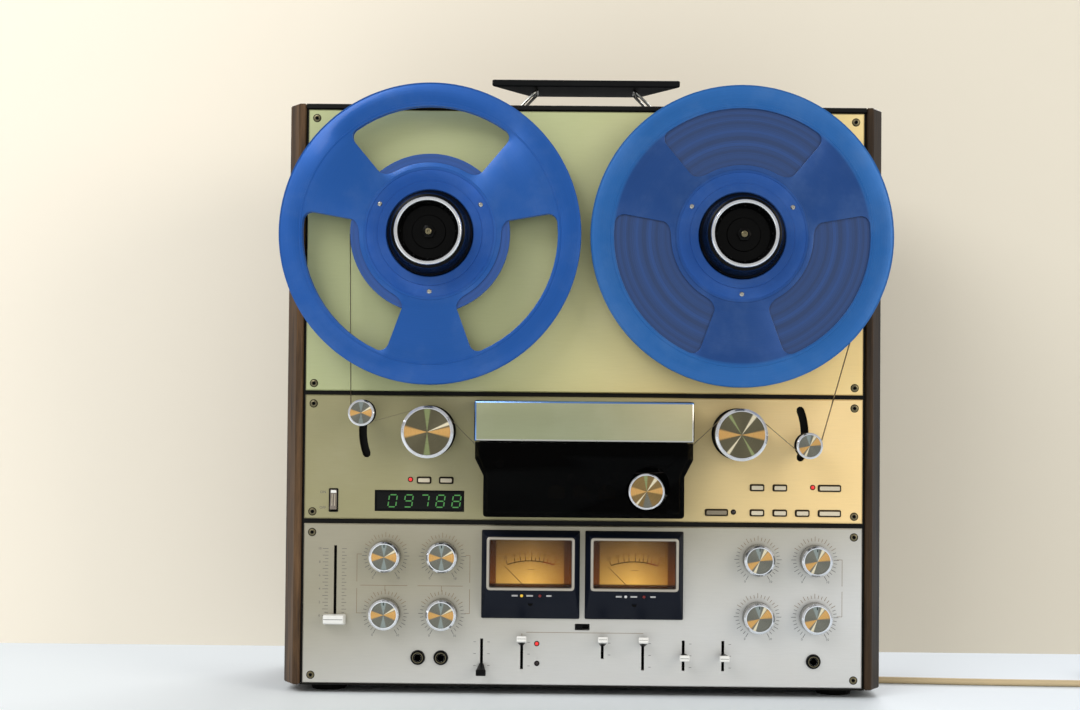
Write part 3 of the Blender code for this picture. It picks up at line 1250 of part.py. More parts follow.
def tube(name, points, radius, kind, resolution):
    curve = bpy.data.curves.new(name, "CURVE")
    curve.dimensions = "3D"
    curve.bevel_depth = radius
    curve.bevel_resolution = resolution
    curve.use_fill_caps = True
    spline = curve.splines.new("POLY")
    spline.points.add(len(points) - 1)
    for point, place_on in zip(spline.points, points):
        point.co = (*place_on, 1.0)
    thing = bpy.data.objects.new(name, curve)
    bpy.context.scene.collection.objects.link(thing)
    thing.location = (0, PANEL_Y, 0)
    curve.materials.append(finish(name, kind))
    return thing


def smooth_route(points, step):
    """Read evenly spaced points from a Catmull-Rom curve through the route."""
    padded = [points[0] * 2 - points[1]] + points + [points[-1] * 2 - points[-2]]
    fine = []
    for before, start, end, after in zip(padded, padded[1:], padded[2:], padded[3:]):
        for share in [part / 20 for part in range(20)]:
            fine.append(0.5 * (2 * start + (end - before) * share
                               + (2 * before - 5 * start + 4 * end - after) * share ** 2
                               + (3 * start - before - 3 * end + after) * share ** 3))
    fine.append(points[-1])
    lengths = [0.0]
    for near, far in zip(fine, fine[1:]):
        lengths.append(lengths[-1] + (far - near).length)
    count = max(2, round(lengths[-1] / step))
    even = []
    index = 0
    for part in range(count + 1):
        goal = lengths[-1] * part / count
        while index < len(fine) - 2 and lengths[index + 1] < goal:
            index += 1
        span = lengths[index + 1] - lengths[index]
        even.append(fine[index].lerp(fine[index + 1], (goal - lengths[index]) / span))
    return even


def crossing():
    """Where the lead crosses under the deck, in the free width between the two rows of feet."""
    front, back = foot_rows()
    low, high = front + FOOT_TOP_RADIUS, back - FOOT_TOP_RADIUS
    return low + CORD_CROSS_SHARE * (high - low)


def coil_centre():
    outer = COIL_INNER_RADIUS + COIL_PITCH * COIL_LAYER_TURNS
    return Vector((COIL_X, crossing() - CORD_DRIFT + outer, CORD_RADIUS + CORD_CLEARANCE)), outer


def coil_points():
    """Loops that spiral in, climb a layer in half a turn, spiral out and leave for the plug."""
    centre, outer = coil_centre()
    turns = 2 * COIL_LAYER_TURNS + COIL_CLIMB_TURNS
    count = round(turns * COIL_POINTS)
    points = [centre + Vector((-2 * CORD_RADIUS, -outer, 0))]
    for step in range(count + 1):
        turn = turns * step / count
        climbed = min(max(turn - COIL_LAYER_TURNS, 0), COIL_CLIMB_TURNS) / COIL_CLIMB_TURNS
        if turn <= COIL_LAYER_TURNS:
            radius = outer - COIL_PITCH * turn
        else:
            radius = COIL_INNER_RADIUS + COIL_PITCH * max(turn - COIL_LAYER_TURNS - COIL_CLIMB_TURNS, 0)
        angle = 2 * math.pi * turn - math.pi / 2
        points.append(centre + Vector((radius * math.cos(angle), radius * math.sin(angle), COIL_LIFT * climbed)))
    end = points[-1]
    plug = PLUG_HEIGHT / 2 + CORD_CLEARANCE
    straight = TAIL_LENGTH - 2 * CORD_RADIUS
    for share in (0.2, 0.4, 0.6, 0.8, 1.0):
        ease = share * share * (3 - 2 * share)
        points.append(Vector((end.x, end.y + straight * share, end.z + (plug - end.z) * ease)))
    points.append(Vector((end.x, end.y + TAIL_LENGTH, plug)))
    return points


def least_gap(points, apart):
    nearest = min((near - far).length for index, near in enumerate(points) for far in points[index + apart:])
    return nearest - 2 * CORD_RADIUS


def cord_length(points):
    return sum((far - near).length for near, far in zip(points, points[1:]))


def lead_route(end):
    """From the gland down behind the deck in a half circle, forward under it and out to the side."""
    gland_x, gland_z = gland_place()
    rest = CORD_RADIUS + CORD_CLEARANCE
    bow = (gland_z - rest) / 2
    start = Vector((gland_x, CABINET_DEPTH + GAP, gland_z))
    route = [start, start + Vector((0, CORD_RADIUS, 0))]
    turn_y = CABINET_DEPTH + 2 * CORD_RADIUS
    for step in range(7):
        turn = math.pi * step / 6
        route.append(Vector((gland_x + CORD_LEAN * step / 12, turn_y + bow * math.sin(turn),
                             rest + bow * (1 + math.cos(turn)))))
    cross = crossing()
    bend_x, bend_y = gland_x + CORD_LEAN + CORD_BEND, cross + CORD_BEND
    for share in (0.35, 0.70):
        route.append(Vector((gland_x + CORD_LEAN * (1 + share) / 2, turn_y + (bend_y - turn_y) * share, rest)))
    for step in range(5):
        turn = math.pi / 2 * step / 4
        route.append(Vector((bend_x - CORD_BEND * math.cos(turn), bend_y - CORD_BEND * math.sin(turn), rest)))
    for along, drift in CORD_RUN_SHARES:
        route.append(Vector((bend_x + (end.x - bend_x) * along, cross - CORD_DRIFT * drift, rest)))
    return route + [end - Vector((2 * CORD_RADIUS, 0, 0)), end]


def make_lead():
    coil = coil_points()
    route = lead_route(coil[0] - Vector((GAP, 0, 0)))
    stretch = [route[0]] + smooth_route(route[1:-1], CORD_STEP) + [route[-1]]
    for point in stretch:
        point.z = max(point.z, CORD_RADIUS + CORD_CLEARANCE)
    tube("mains_lead", stretch, CORD_RADIUS, "beige", resolution=2)
    tube("lead_coil", coil, CORD_RADIUS, "beige", resolution=1)
    print("coil gap to itself", least_gap(coil, COIL_POINTS // 2))
    print("lead length", cord_length(stretch) + cord_length(coil))

    tip = coil[-1] + Vector((0, GAP, 0))
    bm = bmesh.new()
    sections = [(0, PLUG_NECK_WIDTH, PLUG_HEIGHT * 0.8), (0.3, PLUG_NECK_WIDTH, PLUG_HEIGHT),
                (0.7, PLUG_WIDTH, PLUG_HEIGHT), (1.0, PLUG_WIDTH, PLUG_HEIGHT)]
    loops = []
    for share, width, height in sections:
        outline = rounded(tip.x, tip.z, width, height, height / 4, 3)
        loops.append(section(-(tip.y + share * PLUG_LENGTH), outline))
    add_loft(bm, loops)
    plug = place("mains_plug", bm, "beige")
    pins = bmesh.new()
    face = -(tip.y + PLUG_LENGTH)
    for side in SIDES.values():
        add_prism(pins, circle(tip.x + side * PLUG_PIN_PITCH / 2, tip.z, PLUG_PIN_RADIUS, SHAFT_ROUND),
                  face - PLUG_PIN_LENGTH, face + SINK)
    join(plug, pins)


def main():
    for thing in list(bpy.data.objects):
        bpy.data.objects.remove(thing, do_unlink=True)
    make_cabinet()
    make_cheeks()
    make_rear_cover()
    make_upper_panel()
    make_middle_panel()
    make_lower_panel()
    make_reels()
    make_hub_adapters()
    make_rollers()
    make_tension_arms()
    make_head_block()
    make_head_cover()
    make_capstan()
    make_pinch_roller()
    make_meter_unit()
    make_needles()
    make_buttons()
    make_power_switch()
    make_levers()
    make_slide_switch()
    make_fader()
    make_knobs()
    make_handle()
    make_lead()


main()
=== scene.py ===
import math

import bmesh
import bpy
from mathutils import Matrix, Vector


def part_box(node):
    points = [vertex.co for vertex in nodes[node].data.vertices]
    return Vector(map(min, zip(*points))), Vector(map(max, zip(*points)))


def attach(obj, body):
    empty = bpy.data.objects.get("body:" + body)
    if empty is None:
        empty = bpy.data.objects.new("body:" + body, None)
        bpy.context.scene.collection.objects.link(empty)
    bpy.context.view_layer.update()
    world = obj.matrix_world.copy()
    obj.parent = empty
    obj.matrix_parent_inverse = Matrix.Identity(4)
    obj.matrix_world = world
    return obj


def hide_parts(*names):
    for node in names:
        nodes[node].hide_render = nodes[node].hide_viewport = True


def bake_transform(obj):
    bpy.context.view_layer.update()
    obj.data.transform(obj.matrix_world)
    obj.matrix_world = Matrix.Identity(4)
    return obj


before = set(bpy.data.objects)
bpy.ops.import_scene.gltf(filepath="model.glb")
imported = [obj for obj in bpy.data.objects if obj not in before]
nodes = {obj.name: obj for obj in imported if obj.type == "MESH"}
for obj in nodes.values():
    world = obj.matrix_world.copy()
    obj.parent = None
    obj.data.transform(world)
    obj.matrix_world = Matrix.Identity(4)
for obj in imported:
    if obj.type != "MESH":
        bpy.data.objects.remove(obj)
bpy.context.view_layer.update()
print("frame loaded with", len(nodes), "nodes")

frontY = -0.0621  # the panels' front
rearY = frontY + 0.185
toFront = Matrix.Translation((0, frontY, 0)) @ Matrix.Rotation(math.pi / 2, 4,
        "X")  # drawn flat: y is up, z is out
toRear = Matrix.Translation((0, rearY, 0)) @ Matrix.Rotation(math.pi, 4, "Z") @ Matrix.Rotation(math.pi / 2, 4,
        "X")
sides = {"left": -1, "right": 1}


# Camera, light and floor

cameraPlace = {"at": (-0.02619, -1.66238, 0.26576), "turn": -0.00845, "tilt": 0.02397, "roll": 0.00942,
               "lens": 59.47}
lampSet = {
    "keyLamp": {"at": (-1.3, -1.9, 1.9), "size": (1.6, 1.2), "power": 34, "colour": (1, 1, 1)},
    "warmLamp": {"at": (1.9, -1.7, 1.0), "size": (1.2, 1.4), "power": 22, "colour": (1.0, 0.93, 0.82)},
    "rearLamp": {"at": (0.9, 2.4, 1.8), "size": (1.6, 1.6), "power": 34, "colour": (1, 1, 1)},
}
stageSet = {"floor": (241, 247, 252), "wall": (240, 224, 200), "wallY": 0.236, "world": 0.55}


def tone(red, green, blue):
    made = [value / 255 / 12.92 if value <= 10 else ((value / 255 + 0.055) / 1.055) ** 2.4
            for value in (red, green, blue)]
    return (*made, 1.0)


def makeCamera(place):
    data = bpy.data.cameras.new("photoCamera")
    data.lens = place["lens"]
    data.sensor_width = 36
    ahead = Vector((math.sin(place["turn"]) * math.cos(place["tilt"]),
                    math.cos(place["turn"]) * math.cos(place["tilt"]), math.sin(place["tilt"])))
    level = Vector((math.cos(place["turn"]), -math.sin(place["turn"]), 0))
    rise = level.cross(ahead)
    right = level * math.cos(place["roll"]) + rise * math.sin(place["roll"])
    top = rise * math.cos(place["roll"]) - level * math.sin(place["roll"])
    camera = bpy.data.objects.new("photoCamera", data)
    bpy.context.scene.collection.objects.link(camera)
    turned = Matrix((right, top, -ahead)).transposed().to_4x4()
    turned.translation = place["at"]
    camera.matrix_world = turned
    bpy.context.scene.camera = camera


def makeLamp(name, settings):
    data = bpy.data.lights.new(name, "AREA")
    data.shape = "RECTANGLE"
    data.size, data.size_y = settings["size"]
    data.energy = settings["power"]
    data.color = settings["colour"]
    lamp = bpy.data.objects.new(name, data)
    bpy.context.scene.collection.objects.link(lamp)
    lamp.location = settings["at"]
    lamp.rotation_euler = (Vector((0, 0, 0.25)) - Vector(settings["at"])).to_track_quat("-Z", "Y").to_euler()


def makeStage(settings):
    world = bpy.data.worlds.new("studio")
    world.use_nodes = True
    world.node_tree.nodes["Background"].inputs["Color"].default_value = (1.0, 0.985, 0.96, 1)
    world.node_tree.nodes["Background"].inputs["Strength"].default_value = settings["world"]
    bpy.context.scene.world = world
    for name in ("floor", "wall"):
        bm = bmesh.new()
        bmesh.ops.create_grid(bm, x_segments=1, y_segments=1, size=6)
        if name == "wall":
            bm.transform(Matrix.Translation((0, settings["wallY"], 0)) @ Matrix.Rotation(math.pi / 2, 4, "X"))
        mesh = bpy.data.meshes.new(name)
        bm.to_mesh(mesh)
        bm.free()
        thing = bpy.data.objects.new(name, mesh)
        bpy.context.scene.collection.objects.link(thing)
        paint = bpy.data.materials.new(name + "Paint")
        paint.use_nodes = True
        tree = paint.node_tree
        shader = tree.nodes["Principled BSDF"]
        shader.inputs["Base Color"].default_value = tone(*settings[name])
        shader.inputs["Roughness"].default_value = 0.6
        if name == "wall":  # seen only from the front, so that it never hides the rear
            facing = tree.nodes.new("ShaderNodeNewGeometry")
            clear = tree.nodes.new("ShaderNodeBsdfTransparent")
            choice = tree.nodes.new("ShaderNodeMixShader")
            tree.links.new(facing.outputs["Backfacing"], choice.inputs["Fac"])
            tree.links.new(shader.outputs[0], choice.inputs[1])
            tree.links.new(clear.outputs[0], choice.inputs[2])
            tree.links.new(choice.outputs[0], tree.nodes["Material Output"].inputs["Surface"])
            thing.visible_shadow = False
            thing.visible_diffuse = False
            thing.visible_glossy = False
        mesh.materials.append(paint)


makeCamera(cameraPlace)
bpy.context.scene.view_settings.view_transform = "Standard"
for lampName, lampSettings in lampSet.items():
    makeLamp(lampName, lampSettings)
makeStage(stageSet)
print("camera, lamps and stage made")


# Shared effects, as shader node groups

def feed(tree, socket, value):
    if isinstance(value, bpy.types.NodeSocket):
        tree.links.new(value, socket)
    else:
        socket.default_value = value


def addNode(tree, kind, given=None, **settings):
    node = tree.nodes.new("ShaderNode" + kind)
    for key, value in settings.items():
        setattr(node, key, value)
    for key, value in (given or {}).items():
        feed(tree, node.inputs[key], value)
    return node


def calc(tree, operation, first, second=0.0, third=0.0):
    node = addNode(tree, "Math", operation=operation)
    for socket, value in zip(node.inputs, (first, second, third)):
        feed(tree, socket, value)
    return node.outputs[0]


def blend(tree, factor, first, second, way="MIX"):
    node = addNode(tree, "Mix", {"Factor": factor, 6: first, 7: second}, data_type="RGBA", blend_type=way)
    return node.outputs[2]


def newGroup(name, inputs, outputs):
    group = bpy.data.node_groups.new(name, "ShaderNodeTree")
    for label, kind, value in inputs:
        socket = group.interface.new_socket(name=label, in_out="INPUT", socket_type="NodeSocket" + kind)
        socket.default_value = value
    for label, kind in outputs:
        group.interface.new_socket(name=label, in_out="OUTPUT", socket_type="NodeSocket" + kind)
    return group, group.nodes.new("NodeGroupInput").outputs, group.nodes.new("NodeGroupOutput").inputs


def useGroup(tree, group, **values):
    node = addNode(tree, "Group", node_tree=group)
    for key, value in values.items():
        feed(tree, node.inputs[key], value)
    return node.outputs


def makeGrainGroup():
    group, given, sent = newGroup("fineGrain", [("Size", "Float", 0.001), ("Stretch", "Vector", (1, 1, 1)),
                                                ("Depth", "Float", 0.1)],
                                  [("Shade", "Float"), ("Height", "Float")])
    place = addNode(group, "TexCoord").outputs["Object"]
    stretched = addNode(group, "VectorMath", {0: place, 1: given["Stretch"]}, operation="MULTIPLY")
    noise = addNode(group, "TexNoise", {"Vector": stretched.outputs[0],
                                        "Scale": calc(group, "DIVIDE", 1.0, given["Size"]), "Detail": 3},
                    noise_dimensions="3D")
    swing = calc(group, "MULTIPLY", calc(group, "SUBTRACT", noise.outputs["Fac"], 0.5), given["Depth"])
    feed(group, sent["Shade"], calc(group, "ADD", 1.0, swing))
    feed(group, sent["Height"], noise.outputs["Fac"])
    return group


def makeSpunGroup():
    group, given, sent = newGroup("spunLines", [("Place", "Vector", (0, 0, 0)), ("Pitch", "Float", 0.0004)],
                                  [("Rings", "Float"), ("Angle", "Float"), ("Radius", "Float")])
    middle = addNode(group, "VectorMath", {0: given["Place"], 1: (0.5, 0.5, 0)}, operation="SUBTRACT")
    length = addNode(group, "VectorMath", operation="LENGTH")
    feed(group, length.inputs[0], middle.outputs[0])
    radius = calc(group, "DIVIDE", length.outputs["Value"], 3.5)
    split = addNode(group, "SeparateXYZ")
    feed(group, split.inputs[0], middle.outputs[0])
    angle = calc(group, "ARCTAN2", split.outputs["Y"], split.outputs["X"])
    ringNoise = addNode(group, "TexNoise", {"W": calc(group, "DIVIDE", radius, given["Pitch"]), "Scale": 1.0,
                                            "Detail": 2}, noise_dimensions="1D")
    feed(group, sent["Rings"], ringNoise.outputs["Fac"])
    # from 0 to 1 round the middle, with 0.5 to the right
    feed(group, sent["Angle"], calc(group, "ADD", calc(group, "DIVIDE", angle, 2 * math.pi), 0.5))
    feed(group, sent["Radius"], radius)
    return group


def makeWoodGroup():
    group, given, sent = newGroup("woodFigure", [("Dark", "Color", (0, 0, 0, 1)), ("Light", "Color", (1, 1, 1, 1)),
                                                 ("Pitch", "Float", 0.004)],
                                  [("Colour", "Color"), ("Height", "Float")])
    place = addNode(group, "TexCoord").outputs["Object"]
    long = addNode(group, "Mapping", {"Vector": place, "Scale": (1, 1, 0.06)})
    drift = addNode(group, "TexNoise", {"Vector": long.outputs[0], "Scale": 28, "Detail": 4})
    figure = addNode(group, "TexNoise", {"Vector": long.outputs[0],
                                         "Scale": calc(group, "DIVIDE", 1.0, given["Pitch"]), "Detail": 6,
                                         "Distortion": 0.4})
    pores = addNode(group, "TexNoise", {"Vector": long.outputs[0], "Scale": 1700, "Detail": 2})
    body = calc(group, "ADD", calc(group, "MULTIPLY", drift.outputs["Fac"], 0.6),
                calc(group, "MULTIPLY", figure.outputs["Fac"], 0.4))
    spread = addNode(group, "MapRange", {"Value": body, "From Min": 0.36, "From Max": 0.64})
    shade = calc(group, "MULTIPLY", spread.outputs[0], calc(group, "ADD", 0.55, pores.outputs["Fac"]))
    feed(group, sent["Colour"], blend(group, shade, given["Dark"], given["Light"]))
    feed(group, sent["Height"], pores.outputs["Fac"])
    return group


# blends two colours along a direction: a surface's own tone together with painted light and shade that changes across
# it
def makeTintGroup():
    group, given, sent = newGroup("toneAndPaintedLight", [("First", "Color", (1, 1, 1, 1)), ("Second", "Color", (1, 1, 1, 1)),
                                               ("Way", "Vector", (1, 0, 0)), ("Start", "Float", 0.0),
                                                   ("End", "Float", 1.0)],
                                  [("Colour", "Color")])
    along = addNode(group, "VectorMath", {0: addNode(group, "TexCoord").outputs["Object"], 1: given["Way"]},
                    operation="DOT_PRODUCT")
    share = addNode(group, "MapRange", {"Value": along.outputs["Value"], "From Min": given["Start"],
                                        "From Max": given["End"]}, interpolation_type="SMOOTHSTEP")
    feed(group, sent["Colour"], blend(group, share.outputs[0], given["First"], given["Second"]))
    return group


def spreadTint(tree, first, second, way, start, end):
    return useGroup(tree, toneAndLightGroup, First=tone(*first), Second=tone(*second), Way=way, Start=start, End=end)["Colour"]


def makeWearGroup():
    group, given, sent = newGroup("handling", [("Colour", "Color", (1, 1, 1, 1)),
            ("Dust", "Color", (0.6, 0.58, 0.54, 1)),
                                               ("Amount", "Float", 0.15), ("Size", "Float", 0.03)],
                                  [("Colour", "Color"), ("Mask", "Float")])
    place = addNode(group, "TexCoord").outputs["Object"]
    cloud = addNode(group, "TexNoise", {"Vector": place, "Scale": calc(group, "DIVIDE", 1.0, given["Size"]),
                                        "Detail": 5, "Roughness": 0.65})
    patch = addNode(group, "MapRange", {"Value": cloud.outputs["Fac"], "From Min": 0.42, "From Max": 0.72},
                    interpolation_type="SMOOTHSTEP")
    mask = calc(group, "MULTIPLY", patch.outputs[0], given["Amount"])
    feed(group, sent["Colour"], blend(group, mask, given["Colour"], given["Dust"]))
    feed(group, sent["Mask"], mask)
    return group


grain = makeGrainGroup()
spun = makeSpunGroup()
figure = makeWoodGroup()
toneAndLightGroup = makeTintGroup()
handling = makeWearGroup()

# painted shade on the floor and backdrop: each turns darker towards the right
paintedStageShade = {"floor": ((246, 252, 255), (220, 229, 238), (1, 0, 0), -0.6, 0.75),
              "wall": ((248, 239, 222), (222, 215, 199), (1, 0, 0), -0.7, 0.7)}
for stageName, stageShadeSpread in paintedStageShade.items():
    stageTree = bpy.data.materials[stageName + "Paint"].node_tree
    feed(stageTree, stageTree.nodes["Principled BSDF"].inputs["Base Color"], spreadTint(stageTree, *stageShadeSpread))


# Finishes

def newPaint(name, roughness=0.5, metallic=0.0, **sockets):
    paint = bpy.data.materials.new(name)
    paint.use_nodes = True
    shader = paint.node_tree.nodes["Principled BSDF"]
    shader.inputs["Roughness"].default_value = roughness
    shader.inputs["Metallic"].default_value = metallic
    for key, value in sockets.items():
        shader.inputs[key.replace("_", " ")].default_value = value
    return paint, paint.node_tree, shader.inputs


def bumpFrom(tree, height, depth, strength=1.0):
    node = addNode(tree, "Bump", {"Strength": strength, "Distance": depth, "Height": height})
    return node.outputs[0]


def mixedRoughness(tree, base, mask, gain):
    return calc(tree, "ADD", base, calc(tree, "MULTIPLY", mask, gain))


def addRamp(tree, stops, factor):
    ramp = addNode(tree, "ValToRGB")
    while len(ramp.color_ramp.elements) < len(stops):
        ramp.color_ramp.elements.new(0.5)
    for element, (position, colour) in zip(ramp.color_ramp.elements, stops):
        element.position = position
        element.color = tone(*colour)
    feed(tree, ramp.inputs[0], factor)
    return ramp.outputs[0]


def moulded(name, colour, roughness, size=0.0006, depth=0.00002, dust=0.10, **sockets):
    paint, tree, sent = newPaint(name, roughness, **sockets)
    fine = useGroup(tree, grain, Size=size, Depth=0.25)
    worn = useGroup(tree, handling, Colour=tone(*colour), Dust=tone(*[value * 0.55 + 48 for value in colour]),
                    Amount=dust)
    feed(tree, sent["Base Color"], worn["Colour"])
    feed(tree, sent["Roughness"], mixedRoughness(tree, roughness, worn["Mask"], 0.5))
    feed(tree, sent["Normal"], bumpFrom(tree, fine["Height"], depth))
    return paint


# the base colour runs across the panel from one colour to another: the aluminium's own tone with a painted reflection
# of the room
def satinPanel(name, *spread):
    paint, tree, sent = newPaint(name, 0.42, 0.62, Anisotropic=0.35)
    brushed = useGroup(tree, grain, Size=0.0005, Stretch=(0.03, 1, 1), Depth=0.10)
    cloudy = useGroup(tree, handling, Colour=spreadTint(tree, *spread), Dust=tone(205, 200, 186), Amount=0.08,
                      Size=0.07)
    shaded = blend(tree, 1.0, cloudy["Colour"], brushed["Shade"], "MULTIPLY")
    feed(tree, sent["Base Color"], shaded)
    feed(tree, sent["Roughness"], mixedRoughness(tree, 0.40, cloudy["Mask"], 0.6))
    feed(tree, sent["Normal"], bumpFrom(tree, brushed["Height"], 0.00001))
    return paint


def metal(name, colour, roughness, size=0.0008, stretch=(1, 1, 1), depth=0.000006, metallic=1.0):
    paint, tree, sent = newPaint(name, roughness, metallic)
    fine = useGroup(tree, grain, Size=size, Stretch=stretch, Depth=0.25)
    worn = useGroup(tree, handling, Colour=tone(*colour), Dust=tone(150, 140, 120), Amount=0.12, Size=0.02)
    shaded = blend(tree, 1.0, worn["Colour"], fine["Shade"], "MULTIPLY")
    feed(tree, sent["Base Color"], shaded)
    feed(tree, sent["Roughness"], mixedRoughness(tree, roughness, worn["Mask"], 0.8))
    feed(tree, sent["Normal"], bumpFrom(tree, fine["Height"], depth))
    return paint


# paints fans of reflected light and highlights into a spun face's base colour, fixed to the face
def fanned(tree, turned, base, *found):
    colour = tone(*glintTones[base])
    for name, turn, half in found:
        away = calc(tree, "PINGPONG", calc(tree, "SUBTRACT", turned, 0.5 + turn / 360), 0.5)
        # a wide fan has a softer edge
        share = addNode(tree, "MapRange", {"Value": away, "From Min": (1.6 * half + 3) / 360,
                                           "From Max": half / 360}, interpolation_type="SMOOTHSTEP")
        colour = blend(tree, share.outputs[0], colour, tone(*glintTones[name]))
    return colour


def spunMetal(name, found, roughness=0.24, pitch=0.0003, metallic=0.88):
    paint, tree, sent = newPaint(name, roughness, metallic, Anisotropic=0.7)
    place = addNode(tree, "UVMap", uv_map="faceMap").outputs[0]
    lines = useGroup(tree, spun, Place=place, Pitch=pitch)
    shaded = blend(tree, 0.20, fanned(tree, lines["Angle"], *found), lines["Rings"], "MULTIPLY")
    feed(tree, sent["Base Color"], shaded)
    feed(tree, sent["Roughness"], mixedRoughness(tree, roughness, lines["Rings"], 0.10))
    feed(tree, sent["Normal"], bumpFrom(tree, lines["Rings"], 0.000006))
    feed(tree, sent["Tangent"], addNode(tree, "Tangent", direction_type="UV_MAP", uv_map="around").outputs[0])
    return paint


def reelBlue(name, rim, band, hub):
    paint, tree, sent = newPaint(name, 0.34, 0.45, Anisotropic=0.5, Coat_Weight=0.25, Coat_Roughness=0.12)
    place = addNode(tree, "UVMap", uv_map="faceMap").outputs[0]
    lines = useGroup(tree, spun, Place=place, Pitch=0.0007)
    reelRadius = 0.13335
    bands = addRamp(tree, [(0.0, hub), (0.42, hub), (0.44, band), (0.835, band), (0.855, rim), (1.0, rim)],
                    calc(tree, "DIVIDE", lines["Radius"], reelRadius))
    shaded = blend(tree, 0.22, bands, lines["Rings"], "MULTIPLY")
    worn = useGroup(tree, handling, Colour=shaded, Dust=tone(120, 150, 190), Amount=0.10, Size=0.05)
    feed(tree, sent["Base Color"], worn["Colour"])
    feed(tree, sent["Roughness"], mixedRoughness(tree, 0.30, lines["Rings"], 0.12))
    feed(tree, sent["Normal"], bumpFrom(tree, lines["Rings"], 0.00001))
    feed(tree, sent["Tangent"], addNode(tree, "Tangent", direction_type="UV_MAP", uv_map="around").outputs[0])
    return paint


def woundTape(name, colour, roughness):
    paint, tree, sent = newPaint(name, roughness, 0.0, Coat_Weight=0.2, Coat_Roughness=0.2)
    place = addNode(tree, "UVMap", uv_map="faceMap").outputs[0]
    lines = useGroup(tree, spun, Place=place, Pitch=0.0006)
    coarse = useGroup(tree, spun, Place=place, Pitch=0.006)
    dark = tone(*[value * 0.72 for value in colour])
    feed(tree, sent["Base Color"], blend(tree, calc(tree, "MULTIPLY", coarse["Rings"], lines["Rings"]), dark,
                                         tone(*[min(255, value * 1.5) for value in colour])))
    feed(tree, sent["Roughness"], mixedRoughness(tree, roughness, lines["Rings"], 0.15))
    feed(tree, sent["Normal"], bumpFrom(tree, lines["Rings"], 0.00004))
    return paint


def wood(name, dark, light):
    paint, tree, sent = newPaint(name, 0.42, 0.0, Specular_IOR_Level=0.2, Coat_Weight=0.04, Coat_Roughness=0.25)
    made = useGroup(tree, figure, Dark=tone(*dark), Light=tone(*light))
    feed(tree, sent["Base Color"], made["Colour"])
    feed(tree, sent["Roughness"], mixedRoughness(tree, 0.36, made["Height"], 0.15))
    feed(tree, sent["Normal"], bumpFrom(tree, made["Height"], 0.00008))
    return paint


def glow(name, colour, strength, base=(10, 10, 10)):
    paint, tree, sent = newPaint(name, 0.3, Emission_Strength=strength)
    fine = useGroup(tree, grain, Size=0.002, Depth=0.2)
    lit = blend(tree, 1.0, tone(*colour), fine["Shade"], "MULTIPLY")
    feed(tree, sent["Emission Color"], lit)
    sent["Base Color"].default_value = tone(*base)
    return paint


def clearPane(name, colour, roughness=0.02, **sockets):
    paint, tree, sent = newPaint(name, roughness, 0.0, Transmission_Weight=1.0, **sockets)
    worn = useGroup(tree, handling, Colour=tone(*colour), Dust=tone(*[min(255, value * 1.15) for value in colour]),
                    Amount=0.3)
    feed(tree, sent["Base Color"], worn["Colour"])
    feed(tree, sent["Roughness"], mixedRoughness(tree, roughness, worn["Mask"], 0.04))
    return paint


def dialLight(name):
    paint, tree, sent = newPaint(name, 0.6, Emission_Strength=0.95, Specular_IOR_Level=0.2)
    place = addNode(tree, "UVMap", uv_map="faceMap").outputs[0]
    wide, high = 0.2555, 0.147  # the dial window's share of the flat map, which the mapping turns into 0 to 1
    window = addNode(tree, "Mapping", {"Vector": place, "Location": (0.5 - 0.5 / wide, 0.5 - 0.5 / high, 0),
                                       "Scale": (1 / wide, 1 / high, 1)})
    split = addNode(tree, "SeparateXYZ")
    feed(tree, split.inputs[0], window.outputs[0])
    # the lamp is at the bottom, and the frame darkens the edge
    upward = addRamp(tree, [(0.05, (80, 46, 16)), (0.08, (255, 202, 102)), (0.72, (150, 112, 56)),
                            (1.0, (104, 80, 44))], split.outputs["Y"])
    across = addRamp(tree, [(0.07, (104, 70, 48)), (0.085, (196, 194, 190)), (0.5, (255, 255, 255)),
                            (0.9, (176, 158, 134)), (0.915, (104, 70, 48))], split.outputs["X"])
    amber = blend(tree, 1.0, upward, across, "MULTIPLY")
    paper = useGroup(tree, grain, Size=0.0007, Depth=0.10)
    lit = blend(tree, 1.0, amber, paper["Shade"], "MULTIPLY")
    feed(tree, sent["Emission Color"], lit)
    sent["Base Color"].default_value = tone(34, 24, 12)
    return paint


# tones for spun faces: gold is a painted warm reflection, pale a painted highlight, the rest the metal's base tones
# and painted reflections
glintTones = {"gold": (236, 184, 112), "bronze": (148, 122, 78), "grey": (110, 104, 82), "slate": (128, 128, 118),
            "silver": (156, 166, 162), "sage": (158, 168, 118), "pale": (255, 242, 208)}
paintedGlintSets = {  # the base tone of a spun face, then its fans of painted reflection and highlight: tone, turn in degrees from the right, half width
    "bigLeft": ("grey", ("gold", 180, 10), ("gold", 0, 9), ("sage", 90, 5), ("sage", -90, 5), ("pale", 22, 2)),
    "bigRight": ("grey", ("gold", 180, 9), ("gold", 0, 8), ("sage", 122, 2), ("sage", -60, 2), ("pale", 56, 3),
                 ("pale", -126, 2)),
    "cool": ("slate", ("gold", 180, 13), ("gold", 0, 16), ("silver", 90, 9), ("silver", -90, 9), ("pale", 30, 3)),
    "warm": ("slate", ("gold", -150, 13), ("gold", 28, 16), ("silver", 98, 9), ("pale", 62, 5), ("pale", -114, 4)),
    "gold": ("bronze", ("gold", 180, 12), ("gold", 4, 9), ("sage", 94, 4), ("slate", -86, 12), ("pale", 54, 4),
             ("pale", -128, 2)),
}


